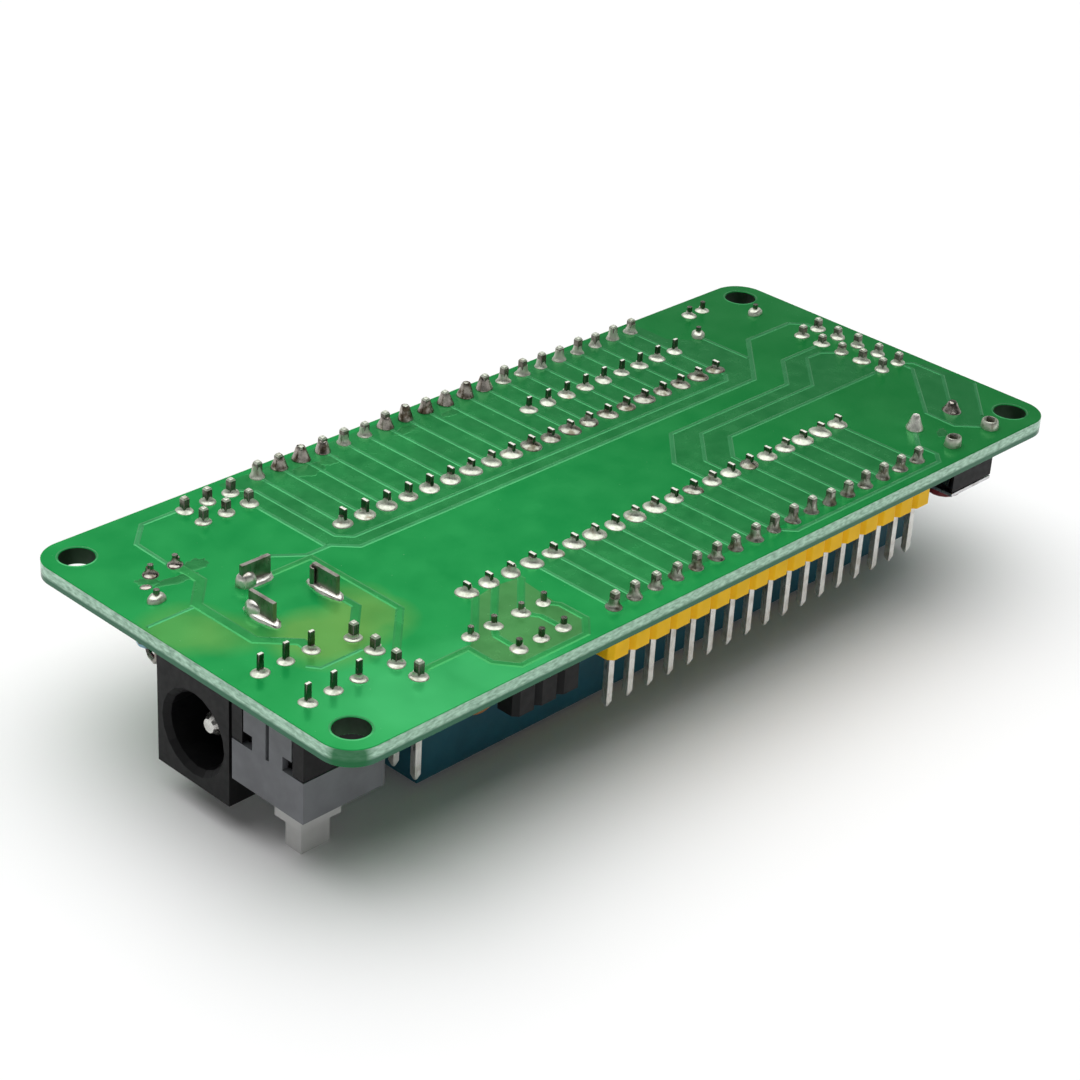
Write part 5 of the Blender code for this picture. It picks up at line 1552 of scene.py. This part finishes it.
@dataclass
class SmallParts:
    """Crystal socket, capacitors, resistors, resistor network and lamp."""

    shop: Workshop
    layout: Layout
    network_lead: Point = (0.25 * MM, 0.15 * MM)
    network_top: float = 17.1 * MM
    lead_radius: float = 0.27 * MM
    lead_sides: int = 16

    def short_lead(self) -> None:
        """Builds the lamp resistor's inner lead, cut level with the board."""
        bm = bmesh.new()
        plan = circle(*middle("led_resistor_lead_1"), self.lead_radius, self.lead_sides)
        extrude_outline(bm, plan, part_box("led_resistor_lead_1")[0][2], BOARD_TOP)
        lead = self.shop.make(bm, "led_resistor_short_lead", Finish.LEAD, angle=60)
        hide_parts("led_resistor_lead_1")

    def build(self) -> None:
        """Builds the short lead and the network's tips, and dresses the nodes of the small parts."""
        self.short_lead()
        self.shop.dress("crystal_socket_body", Finish.BLACK)
        for number in range(1, 4):
            self.shop.dress(f"crystal_socket_contact_{number}", Finish.PIN)
        for side in ("left", "right"):
            self.shop.dress(f"load_capacitor_{side}_body", Finish.CERAMIC, angle=60)
        leads = self.layout.network()
        tips = [(x, y, self.network_top) for x, y in leads]
        self.shop.lengthen("network_lead_tips", tips, self.network_lead)
        self.shop.dress_leads("resistor_network", Finish.BLACK, Finish.LEAD, leads, self.network_lead)
        self.shop.dress("reset_capacitor_can", Finish.SLEEVE)
        self.shop.dress("reset_capacitor_seal", Finish.RUBBER)
        self.shop.dress("reset_resistor_body", Finish.LYING, angle=50)
        self.shop.dress("led_resistor_body", Finish.UPRIGHT, angle=50)
        self.shop.dress("power_led_lens", Finish.LENS, angle=50)
        for name in ("load_capacitor_left", "load_capacitor_right", "reset_capacitor", "reset_resistor",
                     "led_resistor", "power_led"):
            for number in (1, 2):
                if (name, number) != ("led_resistor", 1):
                    self.shop.dress(f"{name}_lead_{number}", Finish.LEAD, angle=60)


@dataclass
class Studio:
    """Pale floor, one broad soft light, a dim room and the camera at the photograph's angle."""

    floor_size: float = 24.0
    floor_tone: float = 0.95
    light_from: Place = (0.1, 0.22, 1.0)
    light_spread: float = 85.0
    light_strength: float = 3.1
    walls: float = 0.8
    ceiling: float = 0.06
    walls_end: float = 0.12
    ceiling_start: float = 0.45
    camera_at: Place = (-0.15455, -0.13985, 0.1250)
    camera_turn: Place = (60.911, -3.034, -45.371)
    lens: float = 88.09
    sensor: float = 36.0

    def floor(self) -> None:
        """Builds the floor."""
        bm = bmesh.new()
        bmesh.ops.create_grid(bm, x_segments=1, y_segments=1, size=self.floor_size / 2)
        mesh = bpy.data.meshes.new("floor")
        bm.to_mesh(mesh)
        bm.free()
        graph = Graph("floor")
        low, high = [(self.floor_tone + step,) * 3 for step in (-0.01, 0.01)]
        tone = graph.blend(graph.vary(6.0), low, high)
        mesh.materials.append(graph.finish(tone, roughness=0.7, refraction=1.1))
        plane = add_object("floor", mesh)

    def light(self) -> None:
        """Adds the broad soft light from above and a little behind."""
        lamp = bpy.data.lights.new("softbox", "SUN")
        lamp.energy = self.light_strength
        lamp.angle = math.radians(self.light_spread)
        holder = add_object("softbox", lamp)
        holder.rotation_euler = Vector(self.light_from).to_track_quat("Z", "Y").to_euler()

    def room(self) -> None:
        """Makes the world: pale walls at the horizon under a dim ceiling."""
        world = bpy.data.worlds.new("studio")
        world.use_nodes = True
        tree = world.node_tree
        split = tree.nodes.new("ShaderNodeSeparateXYZ")
        tree.links.new(tree.nodes.new("ShaderNodeTexCoord").outputs["Generated"], split.inputs[0])
        fade = tree.nodes.new("ShaderNodeMapRange")
        ends = (("From Min", self.walls_end), ("From Max", self.ceiling_start), ("To Min", self.walls),
                ("To Max", self.ceiling))
        for name, number in ends:
            fade.inputs[name].default_value = number
        tree.links.new(split.outputs["Z"], fade.inputs["Value"])
        tree.links.new(fade.outputs["Result"], tree.nodes["Background"].inputs["Strength"])
        tree.nodes["Background"].inputs["Color"].default_value = (1.0, 1.0, 1.0, 1.0)
        bpy.context.scene.world = world

    def camera(self) -> None:
        """Adds the camera."""
        camera = bpy.data.cameras.new("camera")
        camera.lens = self.lens
        camera.sensor_width = self.sensor
        camera.clip_start = 0.01
        holder = add_object("camera", camera)
        holder.location = self.camera_at
        holder.rotation_euler = [math.radians(angle) for angle in self.camera_turn]
        bpy.context.scene.camera = holder

    def build(self) -> None:
        """Builds floor, light, world and camera."""
        self.floor()
        self.light()
        self.room()
        self.camera()
        bpy.context.scene.view_settings.view_transform = "Standard"
        LOG.info("built studio")


def main() -> None:
    """Builds the looks in order."""
    logging.basicConfig(level=logging.INFO, format="%(name)s: %(message)s")
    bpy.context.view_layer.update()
    shop, layout = Workshop(), Layout()
    CircuitBoard(shop, layout).build()
    SolderWork(shop, layout).build()
    for header in HEADERS:
        header.build(shop)
    LeverSocket(shop, layout).build()
    PowerJack(shop).build()
    PowerSwitch(shop, layout).build()
    ResetSwitch(shop).build()
    SmallParts(shop, layout).build()
    Studio().build()


if __name__ == "__main__":
    main()
